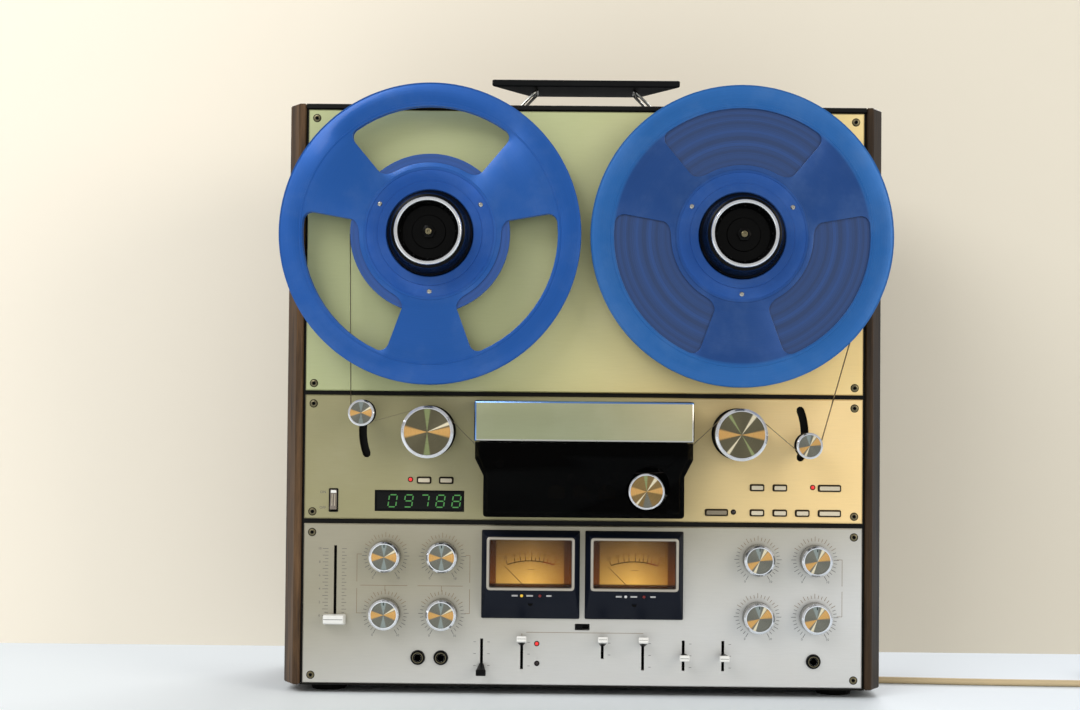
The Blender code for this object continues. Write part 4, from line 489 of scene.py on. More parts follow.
finishes = {
    # each panel's two colours and their direction: aluminium tone with a painted reflection, lighter towards one side
    "upperPanel": satinPanel("upperAluminium", (192, 198, 150), (252, 222, 156), (1, 0, -0.5), -0.30, 0.115),
    "middlePanel": satinPanel("middleAluminium", (164, 158, 120), (254, 222, 160), (1, 0, 0), -0.02, 0.24),
    "lowerPanel": satinPanel("lowerAluminium", (168, 162, 142), (216, 216, 214), (0.25, 0, -1), -0.16, -0.01),
    "nosePanel": satinPanel("noseAluminium", (152, 156, 124), (174, 167, 132), (1, 0, 0), -0.02, 0.10),
    "gripBlack": moulded("gripBlack", (12, 13, 14), 0.5, size=0.0005, depth=0.00004, dust=0.06,
                         Specular_IOR_Level=0.1),
    "body": moulded("blackLacquer", (14, 13, 11), 0.42, dust=0.04, Specular_IOR_Level=0.15),
    "plastic": moulded("blackPlastic", (7, 7, 8), 0.34, dust=0.04, Specular_IOR_Level=0.12),
    "softBlack": moulded("mattBlack", (8, 8, 9), 0.62, size=0.0004, depth=0.00006, dust=0.06,
                         Specular_IOR_Level=0.12),
    "hub": moulded("hubBlack", (3, 3, 3), 0.24, dust=0.02, Specular_IOR_Level=0.10),
    "bezel": moulded("meterBlack", (16, 21, 33), 0.34, dust=0.03, Specular_IOR_Level=0.15),
    "rubber": moulded("rollerRubber", (26, 25, 24), 0.75, size=0.0003, depth=0.00003, dust=0.12),
    "white": moulded("keyWhite", (232, 232, 228), 0.34, dust=0.05),
    "key": moulded("keyGrey", (206, 196, 172), 0.36, dust=0.05),
    "keyEdge": moulded("keyEdge", (66, 52, 36), 0.4, dust=0.05, Specular_IOR_Level=0.2),
    "keyDark": moulded("keyDark", (128, 118, 98), 0.38, dust=0.05),
    "rocker": moulded("rockerGrey", (118, 108, 98), 0.4, dust=0.08),
    "cable": moulded("leadBeige", (196, 176, 138), 0.48, size=0.004, depth=0.00004, dust=0.15),
    "ink": moulded("printDark", (92, 92, 92), 0.6, dust=0.02),
    "paleInk": moulded("printPale", (205, 206, 208), 0.55, dust=0.02),
    "warmInk": moulded("printWarm", (130, 108, 84), 0.55, dust=0.02),
    "dialInk": moulded("dialPrint", (52, 26, 10), 0.6, dust=0.02, Specular_IOR_Level=0.1),
    "dialRed": moulded("dialRed", (120, 36, 14), 0.6, dust=0.02, Specular_IOR_Level=0.1),
    # near-black with little gloss: the knobs' pointer marks and dark joints, and painted shade in holes, slots and
    # recesses
    "slot": moulded("blackPrintAndHoleShade", (3, 3, 3), 0.7, dust=0.0, Specular_IOR_Level=0.1),
    # one walnut for both cheeks; the right cheek's copy is darker: painted shade
    "leftWalnut": wood("leftWalnut", (24, 18, 14), (108, 80, 52)),
    "rightWalnutShaded": wood("rightWalnutShaded", (12, 9, 6), (62, 44, 25)),
    "leftReel": reelBlue("leftReelBlue", (4, 84, 168), (8, 84, 166), (2, 80, 168)),
    "rightReel": reelBlue("rightReelBlue", (22, 98, 172), (8, 66, 134), (10, 78, 160)),
    "leftPack": woundTape("leftTape", (22, 70, 138), 0.35),
    "rightPack": woundTape("rightTape", (16, 54, 106), 0.35),
    "bigLeft": spunMetal("bigLeft", paintedGlintSets["bigLeft"]),
    "bigRight": spunMetal("bigRight", paintedGlintSets["bigRight"]),
    "spunCoolGlints": spunMetal("spunCoolGlints", paintedGlintSets["cool"]),
    "spunWarmGlints": spunMetal("spunWarmGlints", paintedGlintSets["warm"]),
    "spunGoldGlints": spunMetal("spunGoldGlints", paintedGlintSets["gold"]),
    "spunSide": metal("spunSide", (150, 150, 146), 0.30),
    "rim": metal("brightRim", (240, 242, 246), 0.16, depth=0.000002),
    "steel": metal("steelWire", (168, 168, 162), 0.26),
    "nickel": metal("nickel", (196, 194, 186), 0.20),
    "brass": metal("headGold", (206, 160, 86), 0.26),
    "silver": metal("silverFrame", (186, 180, 168), 0.34, metallic=0.7),
    "screw": metal("screwSteel", (128, 120, 94), 0.34),
    # the nose's top and left bevels: a painted blue reflection
    "bevelBlueReflection": metal("bevelPaintedReflection", (120, 158, 214), 0.18),
    "tapeStrand": moulded("tapeStrand", (58, 44, 34), 0.30, dust=0.02),
    "counterGlass": moulded("counterGlass", (5, 6, 5), 0.14, depth=0.000002, dust=0.02, Specular_IOR_Level=0.2),
    "greenDigit": glow("greenDigit", (96, 186, 92), 0.55),
    "redLamp": glow("redLamp", (235, 52, 48), 0.8, base=(150, 20, 24)),
    "amberLamp": glow("amberLamp", (240, 200, 60), 0.8, base=(120, 90, 20)),
    "dimRed": glow("dimRed", (120, 20, 16), 0.5, base=(70, 10, 8)),
    "darkLamp": moulded("darkLamp", (30, 18, 18), 0.25, dust=0.0),
    "dial": dialLight("amberDial"),
    "smoked": clearPane("smokedAcrylic", (52, 50, 48), IOR=1.08, Coat_Weight=0.04, Coat_Roughness=0.03),
    "clear": clearPane("meterLens", (236, 230, 220), IOR=1.12, Coat_Weight=0.10, Coat_Roughness=0.03),
    "socketRed": moulded("socketRed", (170, 34, 30), 0.4),
    "socketWhite": moulded("socketWhite", (214, 210, 200), 0.4),
}
print("finishes made:", len(finishes))


# Modelling helpers: parts are drawn flat, x right, y up, z out, and placed at the end

def rounded(width, height, radius, count=5, x=0.0, y=0.0):
    points = []
    for step, (across, up) in enumerate(((1, 1), (-1, 1), (-1, -1), (1, -1))):
        middle = (x + across * (width / 2 - radius), y + up * (height / 2 - radius))
        for part in range(count):
            turn = math.pi / 2 * (step + part / (count - 1))
            points.append((middle[0] + radius * math.cos(turn), middle[1] + radius * math.sin(turn)))
    return points


def ringPoints(radius, count, x=0.0, y=0.0):
    return [(x + radius * math.cos(2 * math.pi * step / count), y + radius * math.sin(2 * math.pi * step / count))
            for step in range(count)]


def spin(profile, steps=64, closed=False):
    part = bmesh.new()
    points = [part.verts.new((radius, 0, out)) for radius, out in profile]
    lines = [part.edges.new(pair) for pair in zip(points, points[1:])]
    if closed:
        lines.append(part.edges.new((points[-1], points[0])))
    bmesh.ops.spin(part, geom=points + lines, cent=(0, 0, 0), axis=(0, 0, 1), angle=2 * math.pi, steps=steps,
                   use_merge=True)
    bmesh.ops.remove_doubles(part, verts=part.verts, dist=0.000001)
    return part


def block(width, height, low, high, edge=0.0, segments=2):
    part = bmesh.new()
    bmesh.ops.create_cube(part, size=1.0)
    bmesh.ops.scale(part, vec=(width, height, high - low), verts=part.verts)
    bmesh.ops.translate(part, vec=(0, 0, (low + high) / 2), verts=part.verts)
    if edge:
        bmesh.ops.bevel(part, geom=part.edges[:], offset=edge, offset_type="OFFSET", segments=segments,
                        profile=0.5, affect="EDGES", material=-1)
    return part


def plate(loops, low, high, edge=0.0, segments=2):
    part = bmesh.new()
    lines = []
    for loop in loops:
        points = [part.verts.new((x, y, low)) for x, y in loop]
        lines += [part.edges.new(pair) for pair in zip(points, points[1:] + points[:1])]
    made = bmesh.ops.triangle_fill(part, edges=lines, use_beauty=True, use_dissolve=False)["geom"]
    flat = [piece for piece in made if isinstance(piece, bmesh.types.BMFace)]
    raised = bmesh.ops.extrude_face_region(part, geom=flat)["geom"]
    bmesh.ops.translate(part, vec=(0, 0, high - low), verts=[v for v in raised if isinstance(v,
            bmesh.types.BMVert)])
    if edge:
        middle = (low + high) / 2
        rim = [e for e in part.edges if len(e.link_faces) == 2 and all(v.co.z > middle for v in e.verts)
               and e.calc_face_angle(0) > 1.0]
        bmesh.ops.bevel(part, geom=rim, offset=edge, offset_type="OFFSET", segments=segments, profile=0.5,
                        affect="EDGES", material=-1)
    return part


def loft(loops, capped=(True, True)):
    part = bmesh.new()
    rings = []
    level = None
    for loop in loops:  # bridging pairs two loops wrongly where they lie in one plane, so the second is lifted a hair
        lift = Vector((0, 0, 0.00003 if level is not None and abs(loop[0][2] - level) < 0.00001 else 0))
        level = loop[0][2]
        points = [part.verts.new(Vector(point) + lift) for point in loop]
        rings.append([part.edges.new(pair) for pair in zip(points, points[1:] + points[:1])])
    for lower, upper in zip(rings, rings[1:]):
        bmesh.ops.bridge_loops(part, edges=lower + upper)
    for ring, wanted in zip((rings[0], rings[-1]), capped):
        if wanted:
            bmesh.ops.edgeloop_fill(part, edges=ring)
    return part


def at(x, y, out=0.0, turn=0.0):
    return Matrix.Translation((x, y, out)) @ Matrix.Rotation(turn, 4, "Z")


def joinTo(whole, part):
    held = bpy.data.meshes.new("held")
    part.to_mesh(held)
    part.free()
    whole.from_mesh(held)
    bpy.data.meshes.remove(held)


def addPart(whole, part, paint=0, place=None):
    for face in part.faces if paint is not None else ():
        face.material_index = paint
    bmesh.ops.recalc_face_normals(part, faces=part.faces[:])
    if place:
        part.transform(place)
    joinTo(whole, part)


def addMark(whole, x, y, width, height, paint=0, turn=0.0, out=0.0, thick=0.00006):
    addPart(whole, block(width, height, -0.0001, thick), paint, at(x, y, out, turn))


def addDigits(whole, text, size, place, paint=0, slant=0.0):
    curve = bpy.data.curves.new("digits", "FONT")
    curve.body = text
    curve.size = size
    curve.align_x = "CENTER"
    curve.align_y = "CENTER"
    curve.extrude = 0.00003
    curve.resolution_u = 2
    curve.shear = slant
    thing = bpy.data.objects.new("digits", curve)
    bpy.context.scene.collection.objects.link(thing)
    bpy.context.view_layer.update()
    shape = bpy.data.meshes.new_from_object(thing.evaluated_get(bpy.context.evaluated_depsgraph_get()))
    part = bmesh.new()
    part.from_mesh(shape)
    bmesh.ops.remove_doubles(part, verts=part.verts, dist=0.000001)
    addPart(whole, part, paint, place)
    bpy.data.objects.remove(thing)
    bpy.data.curves.remove(curve)
    bpy.data.meshes.remove(shape)


def mapFaces(whole, centre):
    flat = whole.loops.layers.uv.new("faceMap")
    around = whole.loops.layers.uv.new("around")
    middle = Vector((*centre, 0))
    for face in whole.faces:
        home = face.calc_center_median() - middle
        homeTurn = math.atan2(home.y, home.x)
        for loop in face.loops:
            place = loop.vert.co - middle
            loop[flat].uv = (0.5 + place.x * 3.5, 0.5 + place.y * 3.5)
            radius = math.hypot(place.x, place.y)
            turn = math.atan2(place.y, place.x) if radius > 0.00001 else homeTurn
            turn += 2 * math.pi * round((homeTurn - turn) / (2 * math.pi))
            loop[around].uv = (0.5 + turn / (2 * math.pi), radius * 7)


def finishPiece(name, whole, paints, body="cabinet", stands=(), centre=None, sharp=32, place=toFront):
    if centre:
        mapFaces(whole, centre)
    whole.transform(place)
    mesh = bpy.data.meshes.new(name)
    whole.to_mesh(mesh)
    whole.free()
    for paint in paints:
        mesh.materials.append(finishes[paint])
    mesh.shade_smooth()
    mesh.set_sharp_from_angle(angle=math.radians(sharp))
    thing = bpy.data.objects.new(name, mesh)
    bpy.context.scene.collection.objects.link(thing)
    if body:
        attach(thing, body)
    if stands:
        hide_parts(*stands)
    return thing


# Mains lead: the route repeats the part's, from the gland round to the coil and its plug

lead = {"radius": 0.0031, "rest": 0.0032, "step": 0.015, "bend": 0.030, "lean": 0.011, "drift": 0.0115,
        "gland": (0.165, 0.0575), "depth": 0.185, "cross": 0.09181, "coilX": 0.538, "inner": 0.028,
        "pitch": 0.0076, "lift": 0.007, "layer": 2.375, "climb": 0.5, "perTurn": 24, "tail": 0.046,
        "plug": (0.035, 0.035, 0.0137), "run": ((0.08, 0.0), (0.24, 0.17), (0.37, 0.42), (0.51, 0.72),
            (0.65, 0.86), (0.80, 0.95), (0.91, 0.99))}


def coilRoute(settings):
    outer = settings["inner"] + settings["pitch"] * settings["layer"]
    centre = Vector((settings["coilX"], settings["cross"] - settings["drift"] + outer, settings["rest"]))
    turns = 2 * settings["layer"] + settings["climb"]
    count = round(turns * settings["perTurn"])
    points = [centre + Vector((-2 * settings["radius"], -outer, 0))]
    for step in range(count + 1):
        turn = turns * step / count
        climbed = min(max(turn - settings["layer"], 0), settings["climb"]) / settings["climb"]
        radius = outer - settings["pitch"] * turn
        if turn > settings["layer"]:
            radius = settings["inner"] + settings["pitch"] * max(turn - settings["layer"] - settings["climb"], 0)
        angle = 2 * math.pi * turn - math.pi / 2
        points.append(centre + Vector((radius * math.cos(angle), radius * math.sin(angle),
                                       settings["lift"] * climbed)))
    end = points[-1]
    height = settings["plug"][2] / 2 + 0.0001
    straight = settings["tail"] - 2 * settings["radius"]
    for share in (0.2, 0.4, 0.6, 0.8, 1.0):
        ease = share * share * (3 - 2 * share)
        points.append(Vector((end.x, end.y + straight * share, end.z + (height - end.z) * ease)))
    points.append(Vector((end.x, end.y + settings["tail"], height)))
    return points


def stretchRoute(settings, end):
    glandX, glandZ = settings["gland"]
    radius, rest, bend = settings["radius"], settings["rest"], settings["bend"]
    bow = (glandZ - rest) / 2
    start = Vector((glandX, settings["depth"] + 0.0003, glandZ))
    route = [start, start + Vector((0, radius, 0))]
    turnY = settings["depth"] + 2 * radius
    for step in range(7):
        turn = math.pi * step / 6
        route.append(Vector((glandX + settings["lean"] * step / 12, turnY + bow * math.sin(turn),
                             rest + bow * (1 + math.cos(turn)))))
    bendX, bendY = glandX + settings["lean"] + bend, settings["cross"] + bend
    for share in (0.35, 0.70):
        route.append(Vector((glandX + settings["lean"] * (1 + share) / 2, turnY + (bendY - turnY) * share, rest)))
    for step in range(5):
        turn = math.pi / 2 * step / 4
        route.append(Vector((bendX - bend * math.cos(turn), bendY - bend * math.sin(turn), rest)))
    for along, drift in settings["run"]:
        route.append(Vector((bendX + (end.x - bendX) * along, settings["cross"] - settings["drift"] * drift,
                             rest)))
    return route + [end - Vector((2 * radius, 0, 0)), end]


def evenRoute(points, step):
    padded = [points[0] * 2 - points[1]] + points + [points[-1] * 2 - points[-2]]
    fine = []
    for before, start, end, after in zip(padded, padded[1:], padded[2:], padded[3:]):
        for share in [part / 20 for part in range(20)]:
            fine.append(0.5 * (2 * start + (end - before) * share
                               + (2 * before - 5 * start + 4 * end - after) * share ** 2
                               + (3 * start - before - 3 * end + after) * share ** 3))
    fine.append(points[-1])
    lengths = [0.0]
    for near, far in zip(fine, fine[1:]):
        lengths.append(lengths[-1] + (far - near).length)
    count = max(2, round(lengths[-1] / step))
    even = []
    index = 0
    for part in range(count + 1):
        goal = lengths[-1] * part / count
        while index < len(fine) - 2 and lengths[index + 1] < goal:
            index += 1
        span = lengths[index + 1] - lengths[index]
        even.append(fine[index].lerp(fine[index + 1], (goal - lengths[index]) / span))
    return even


def makeLead(settings):
    coil = coilRoute(settings)
    route = stretchRoute(settings, coil[0] - Vector((0.0003, 0, 0)))
    points = [route[0]] + evenRoute(route[1:-1], settings["step"]) + [route[-1]] + coil[1:]
    for point in points:
        point.z = max(point.z, settings["rest"])
        point.y += frontY
    curve = bpy.data.curves.new("mainsLead", "CURVE")
    curve.dimensions = "3D"
    curve.bevel_depth = settings["radius"]
    curve.bevel_resolution = 3
    curve.resolution_u = 3
    curve.use_fill_caps = True
    spline = curve.splines.new("BEZIER")
    spline.bezier_points.add(len(points) - 1)
    for knot, point in zip(spline.bezier_points, points):
        knot.co = point
        knot.handle_left_type = knot.handle_right_type = "AUTO"
    curve.materials.append(finishes["cable"])
    thing = bpy.data.objects.new("mainsLead", curve)
    bpy.context.scene.collection.objects.link(thing)
    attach(thing, "cabinet")
    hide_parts("mains_lead", "lead_coil")
    length = sum((far - near).length for near, far in zip(points, points[1:]))
    print("lead length", round(length, 4))

    tip = points[-1] + Vector((0, 0.0003, 0))
    long, wide, high = settings["plug"]
    whole = bmesh.new()
    widths = [(0.0, 0.0096, 0.0090), (0.12, 0.0124, 0.0112), (0.30, 0.0150, 0.0128), (0.44, 0.0240, high),
              (0.62, wide - 0.0012, high), (0.80, wide, high), (0.97, wide, high),
              (1.0, wide - 0.0012, high - 0.0012)]
    loops = [[(x, y, long * share) for x, y in rounded(width, height, min(width, height) * 0.32, 5)]
             for share, width, height in widths]
    addPart(whole, loft(loops))
    for ridge in range(3):  # relief rings where the lead enters
        addPart(whole, spin([(0.0034, 0.0009 + ridge * 0.0022), (0.0052, 0.0009 + ridge * 0.0022),
                             (0.0052, 0.0021 + ridge * 0.0022), (0.0034, 0.0021 + ridge * 0.0022)], 24,
                            closed=True), 0,
                Matrix.Translation((0, 0, -0.0010)))
    for side in (-1, 1):
        pin = [(0, long - 0.001), (0.0020, long - 0.001), (0.0020, long + 0.0172), (0.0016, long + 0.0187),
               (0, long + 0.0190)]
        sleeve = [(0.00205, long - 0.001), (0.00205, long + 0.0095), (0.0019, long + 0.0096),
                  (0.0019, long - 0.001)]
        addPart(whole, spin(pin, 20), 1, at(side * 0.0093, 0))
        addPart(whole, spin(sleeve, 20, closed=True), 2, at(side * 0.0093, 0))
    aim = Matrix.Translation(tip) @ Matrix.Rotation(-math.pi / 2, 4, "X")
    plug = finishPiece("mainsPlug", whole, ["cable", "nickel", "softBlack"],
                       stands=["mains_plug"], place=aim)

    whole = bmesh.new()  # ribbed relief at the gland
    ribs = [(0.0064, -0.0238)]
    for ridge in range(6):
        out = -0.0200 + ridge * 0.0033
        radius = 0.0064 - ridge * 0.00026
        ribs += [(radius - 0.0008, out), (radius, out + 0.0004), (radius, out + 0.0014),
                 (radius - 0.0008, out + 0.0018)]
    ribs += [(0.0046, -0.0002), (0.0032, -0.0001), (0.0032, -0.0238)]
    addPart(whole, spin(ribs, 40, closed=True), 0, at(-settings["gland"][0], settings["gland"][1]))
    finishPiece("leadRelief", whole, ["softBlack"], place=toRear)


makeLead(lead)
print("lead made")


# Reels, packs and hub adapters

reel = {"x": 0.1374, "z": 0.40965, "radius": 0.13335, "bore": 0.0381, "hub": 0.05715, "out": 0.0241,
        "flange": 0.0014, "space": 0.0070, "windowIn": 0.06265, "windowOut": 0.11265, "windowTurn": 80,
        "packs": {"left": 0.0705, "right": 0.1170}}


def windowLoop(settings, turn):
    inner, outer = settings["windowIn"], settings["windowOut"]
    half = math.radians(settings["windowTurn"] / 2)
    corner = 0.0085
    points = []
    for radius, way, pull in ((outer, 1, -1), (inner, -1, 1)):
        inset = corner / radius * (1.0 if radius == outer else 1.3)
        for step in range(15):
            share = -1 + 2 * step / 14
            angle = turn + way * share * (half - inset)
            points.append((radius * math.cos(angle), radius * math.sin(angle)))
        ending = turn + way * (half - inset)
        for step in range(1, 6):  # rounded corner onto the spoke
            bend = math.pi / 2 * step / 6
            angle = ending + way * inset * math.sin(bend)
            reach = radius + pull * corner * (1 - math.cos(bend))
            points.append((reach * math.cos(angle), reach * math.sin(angle)))
        side = turn + way * half
        reach = radius + pull * corner
        points.append((reach * math.cos(side), reach * math.sin(side)))
        otherRadius, otherPull = (inner, 1) if radius == outer else (outer, -1)
        otherInset = corner / otherRadius * (1.0 if otherRadius == outer else 1.3)
        reach = otherRadius + otherPull * corner
        points.append((reach * math.cos(side), reach * math.sin(side)))
        for step in range(5, 0, -1):
            bend = math.pi / 2 * step / 6
            angle = side - way * otherInset * (1 - math.sin(bend))
            reach = otherRadius + otherPull * corner * (1 - math.cos(bend))
            points.append((reach * math.cos(angle), reach * math.sin(angle)))
    return points


def makeReel(side, settings):
    x, z = sides[side] * settings["x"], settings["z"]
    low, thick = settings["out"], settings["flange"]
    high = low + 2 * thick + settings["space"]
    whole = bmesh.new()
    windows = [windowLoop(settings, math.radians(90 + 120 * step)) for step in range(3)]
    for base in (low, high - thick):
        loops = [ringPoints(settings["radius"] - 0.0006, 120), ringPoints(settings["bore"], 64)] + windows
        addPart(whole, plate(loops, base, base + thick, 0.0003), 0, at(x, z))
        bead = [(settings["radius"] - 0.0022, base + thick * 0.05), (settings["radius"] - 0.0006, base - 0.0001),
                (settings["radius"], base + 0.0004), (settings["radius"], base + thick - 0.0004),
                (settings["radius"] - 0.0006, base + thick + 0.0001),
                (settings["radius"] - 0.0022, base + thick * 0.95)]
        addPart(whole, spin(bead, 120, closed=True), 0, at(x, z))
    barrel = [(settings["bore"] + 0.0002, low + thick / 2), (settings["hub"], low + thick / 2),
              (settings["hub"], high - thick / 2), (settings["bore"] + 0.0002, high - thick / 2)]
    addPart(whole, spin(barrel, 96, closed=True), 0, at(x, z))
    for inner, outer, lift in ((0.0385, 0.0462, 0.0009), (0.0560, 0.0590, 0.0004), (0.1142, 0.1160, 0.0003)):
        ring = [(inner, high - 0.0003), (inner + 0.0003, high + lift), (outer - 0.0003, high + lift),
                (outer, high - 0.0003)]
        addPart(whole, spin(ring, 120, closed=True), 0, at(x, z))
    for step in range(3):
        turn = math.radians(30 + 120 * step)
        screw = [(0, high - 0.0004), (0.0021, high - 0.0004), (0.0021, high + 0.0004), (0.0015, high + 0.0010),
                 (0.0009, high + 0.0011), (0.0008, high + 0.0004), (0, high + 0.0004)]
        addPart(whole, spin(screw, 20), 1, at(x + 0.0512 * math.cos(turn), z + 0.0512 * math.sin(turn)))
    finishPiece(side + "Reel", whole, [side + "Reel", "nickel"], side + "_reel_set", [side + "_reel"],
                centre=(x, z))

    whole = bmesh.new()
    radius = settings["packs"][side]
    low, high = low + thick + 0.0003, high - thick - 0.0003
    profile = [(settings["hub"] + 0.0003, low), (radius - 0.0004, low), (radius, low + 0.0004),
               (radius, high - 0.0004), (radius - 0.0004, high), (settings["hub"] + 0.0003, high)]
    addPart(whole, spin(profile, 120, closed=True), 0, at(x, z))
    finishPiece(side + "TapePack", whole, [side + "Pack"], side + "_reel_set",
                [side + "_tape_pack"], centre=(x, z))


adapter = {"seat": 0.0238, "disc": 0.0140, "body": 0.0378, "neck": 0.0353, "reach": 0.0608,
           "ring": 0.0312, "recess": 0.0255, "floor": 0.0458, "nut": 0.0090}


def makeAdapter(side, settings):
    x, z = sides[side] * reel["x"], reel["z"]
    whole = bmesh.new()
    body, neck, reach = settings["body"], settings["neck"], settings["reach"]
    profile = [(0, 0.0008), (0.0180, 0.0008), (0.0180, settings["disc"]), (0.0442, settings["disc"]),
               (0.0450, settings["disc"] + 0.0008), (0.0450, settings["seat"] - 0.0008),
               (0.0442, settings["seat"]), (body, settings["seat"]), (body, neck), (body - 0.0004, neck + 0.0008),
               (0.0362, 0.0372), (0.0352, 0.0392), (0.0343, 0.0425), (0.0335, 0.0470), (0.0330, 0.0520),
               (0.0327, 0.0560), (0.0322, 0.0576), (0.0306, 0.0584), (0.0270, 0.0584),
               (settings["recess"] + 0.0004, 0.0580), (settings["recess"], 0.0574), (0.0246, 0.0500),
               (0.0238, settings["floor"] + 0.0008), (0.0230, settings["floor"]),
               (settings["nut"] + 0.0060, settings["floor"]),
               (settings["nut"] + 0.0054, settings["floor"] + 0.0012),
               (settings["nut"] + 0.0002, settings["floor"] + 0.0014), (0, settings["floor"] + 0.0014)]
    addPart(whole, spin(profile, 96), 0, at(x, z))
    for step in range(12):  # grip ribs round the recess
        turn = 2 * math.pi * step / 12
        rib = block(0.0012, 0.0016, settings["floor"], 0.0566, 0.0003)
        addPart(whole, rib, 0, at(x, z) @ Matrix.Rotation(turn, 4, "Z") @ Matrix.Translation((0.0243, 0, 0)))
    band = [(0.0264, 0.0580), (0.0266, 0.0600), (0.0274, reach - 0.0001), (0.0284, reach), (0.0292, 0.0603),
            (0.0298, 0.0592), (0.0300, 0.0580)]
    addPart(whole, spin(band, 96, closed=True), 1, at(x, z))
    nut = plate([ringPoints(settings["nut"] - 0.0028, 6)], settings["floor"] + 0.0010, settings["floor"] + 0.0050,
                0.0005)
    addPart(whole, nut, 0, at(x, z))
    stem = [(0, settings["floor"] + 0.0040), (0.0027, settings["floor"] + 0.0040),
            (0.0027, settings["floor"] + 0.0080), (0.0021, settings["floor"] + 0.0084),
            (0.0011, settings["floor"] + 0.0084), (0.0009, settings["floor"] + 0.0070),
            (0, settings["floor"] + 0.0066)]
    addPart(whole, spin(stem, 32), 2, at(x, z))
    finishPiece(side + "HubAdapter", whole, ["hub", "rim", "screw"], side + "_reel_set",
                [side + "_hub_adapter"])


for side in sides:
    makeReel(side, reel)
    makeAdapter(side, adapter)
print("reels made")


# Rollers, tape guides and the tension arms' tips

roller = {"x": 0.1374, "z": 0.234983, "radius": 0.0230, "body": 0.0215, "cap": 0.0345, "reach": 0.0420}
guide = {"left": (-0.19570, 0.25115), "right": (0.19720, 0.22583), "radius": 0.0115, "groove": 0.0097,
         "low": 0.0210, "high": 0.0375}


def cappedProfile(radius, cap, reach, chamfer):
    dish = radius - chamfer - 0.0008
    side = [(radius - 0.0006, cap), (radius, cap + 0.0006), (radius, reach - chamfer)]
    lip = [(radius, reach - chamfer), (radius - chamfer, reach), (dish, reach)]
    face = [(dish, reach), (dish - 0.0004, reach - 0.0004), (0, reach - 0.0006)]
    return side, lip, face


def addCap(whole, place, radius, cap, reach, chamfer, paints=(1, 2, 3), steps=72):
    side, lip, face = cappedProfile(radius, cap, reach, chamfer)
    profile = [(0, cap)] + side + lip[1:] + face[1:]
    part = spin(profile, steps)
    bmesh.ops.recalc_face_normals(part, faces=part.faces[:])
    limits = (radius - 0.0001, radius - chamfer - 0.0010)
    for piece in part.faces:
        middle = piece.calc_center_median()
        reachOut = math.hypot(middle.x, middle.y)
        piece.material_index = paints[0]
        if middle.z > cap + 0.0007:
            if reachOut < limits[1]:
                piece.material_index = paints[2]
            elif abs(piece.normal.z) > 0.2:
                piece.material_index = paints[1]
    part.transform(place)
    joinTo(whole, part)


def makeRollers():
    for side, way in sides.items():
        x, z = way * roller["x"], roller["z"]
        whole = bmesh.new()
        body = [(0, 0.0008), (0.0226, 0.0008), (0.0230, 0.0012), (0.0230, 0.0036), (0.0215, 0.0050),
                (0.0215, 0.0335), (0.0210, 0.0345), (0, 0.0345)]
        addPart(whole, spin(body, 72), 0, at(x, z))
        addCap(whole, at(x, z), roller["radius"], roller["cap"], roller["reach"], 0.0019)
        finishPiece(side + "TapeRoller", whole, ["softBlack", "spunSide", "rim",
                "bigLeft" if side == "left" else "bigRight"], side + "_tape_roller_turning",
                    [side + "_tape_roller"], centre=(x, z), sharp=22)

        x, z = guide[side]
        whole = bmesh.new()
        body = [(0.0033, guide["low"]), (0.0115, guide["low"]), (0.0115, guide["low"] + 0.0030),
                (0.0097, guide["low"] + 0.0042), (0.0097, guide["high"] - 0.0042),
                (0.0115, guide["high"] - 0.0032), (0.0115, guide["high"] - 0.0024),
                (0.0033, guide["high"] - 0.0024)]
        addPart(whole, spin(body, 48, closed=True), 0, at(x, z))
        addCap(whole, at(x, z), guide["radius"], guide["high"] - 0.0028, guide["high"] + 0.0014, 0.0011, steps=48)
        finishPiece(side + "GuideRoller", whole, ["softBlack", "spunSide", "rim",
                "spunCoolGlints" if side == "left" else "spunWarmGlints"],
                    side + "_guide_roller_turning", [side + "_guide_roller"], centre=(x, z),
                    sharp=22)


makeRollers()
print("rollers made")


# Head block, smoked cover, pinch roller and capstan

headBlock = {"halfWidth": 0.0968, "low": 0.2270, "high": 0.2632, "reach": 0.0340, "coverHalf": 0.0957,
             "coverFoot": 0.0882, "coverLow": 0.1609, "coverTop": 0.2267, "shoulder": 0.2122, "knee": 0.1972,
             "wall": 0.0022, "heads": (-0.024, -0.002, 0.020), "headTop": 0.1895, "headSize": (0.0150, 0.0120),
             "guides": ((-0.0741, 0.2068), (-0.01075, 0.1945), (0.01125, 0.1945), (0.02875, 0.1970)),
             "pinch": (0.055, 0.1845), "capstan": (0.06826, 0.20384)}


def coverLoop(settings, inset, top):
    wide, narrow = settings["coverHalf"] - inset, settings["coverFoot"] - inset
    foot, corner = settings["coverLow"] + inset, 0.003
    right = [(wide, top), (wide, settings["shoulder"]), (narrow, settings["knee"])]
    for step in range(6):
        turn = -math.pi / 2 * step / 5
        right.append((narrow - corner + corner * math.cos(turn), foot + corner + corner * math.sin(turn)))
    return right[::-1] + [(-x, y) for x, y in right]


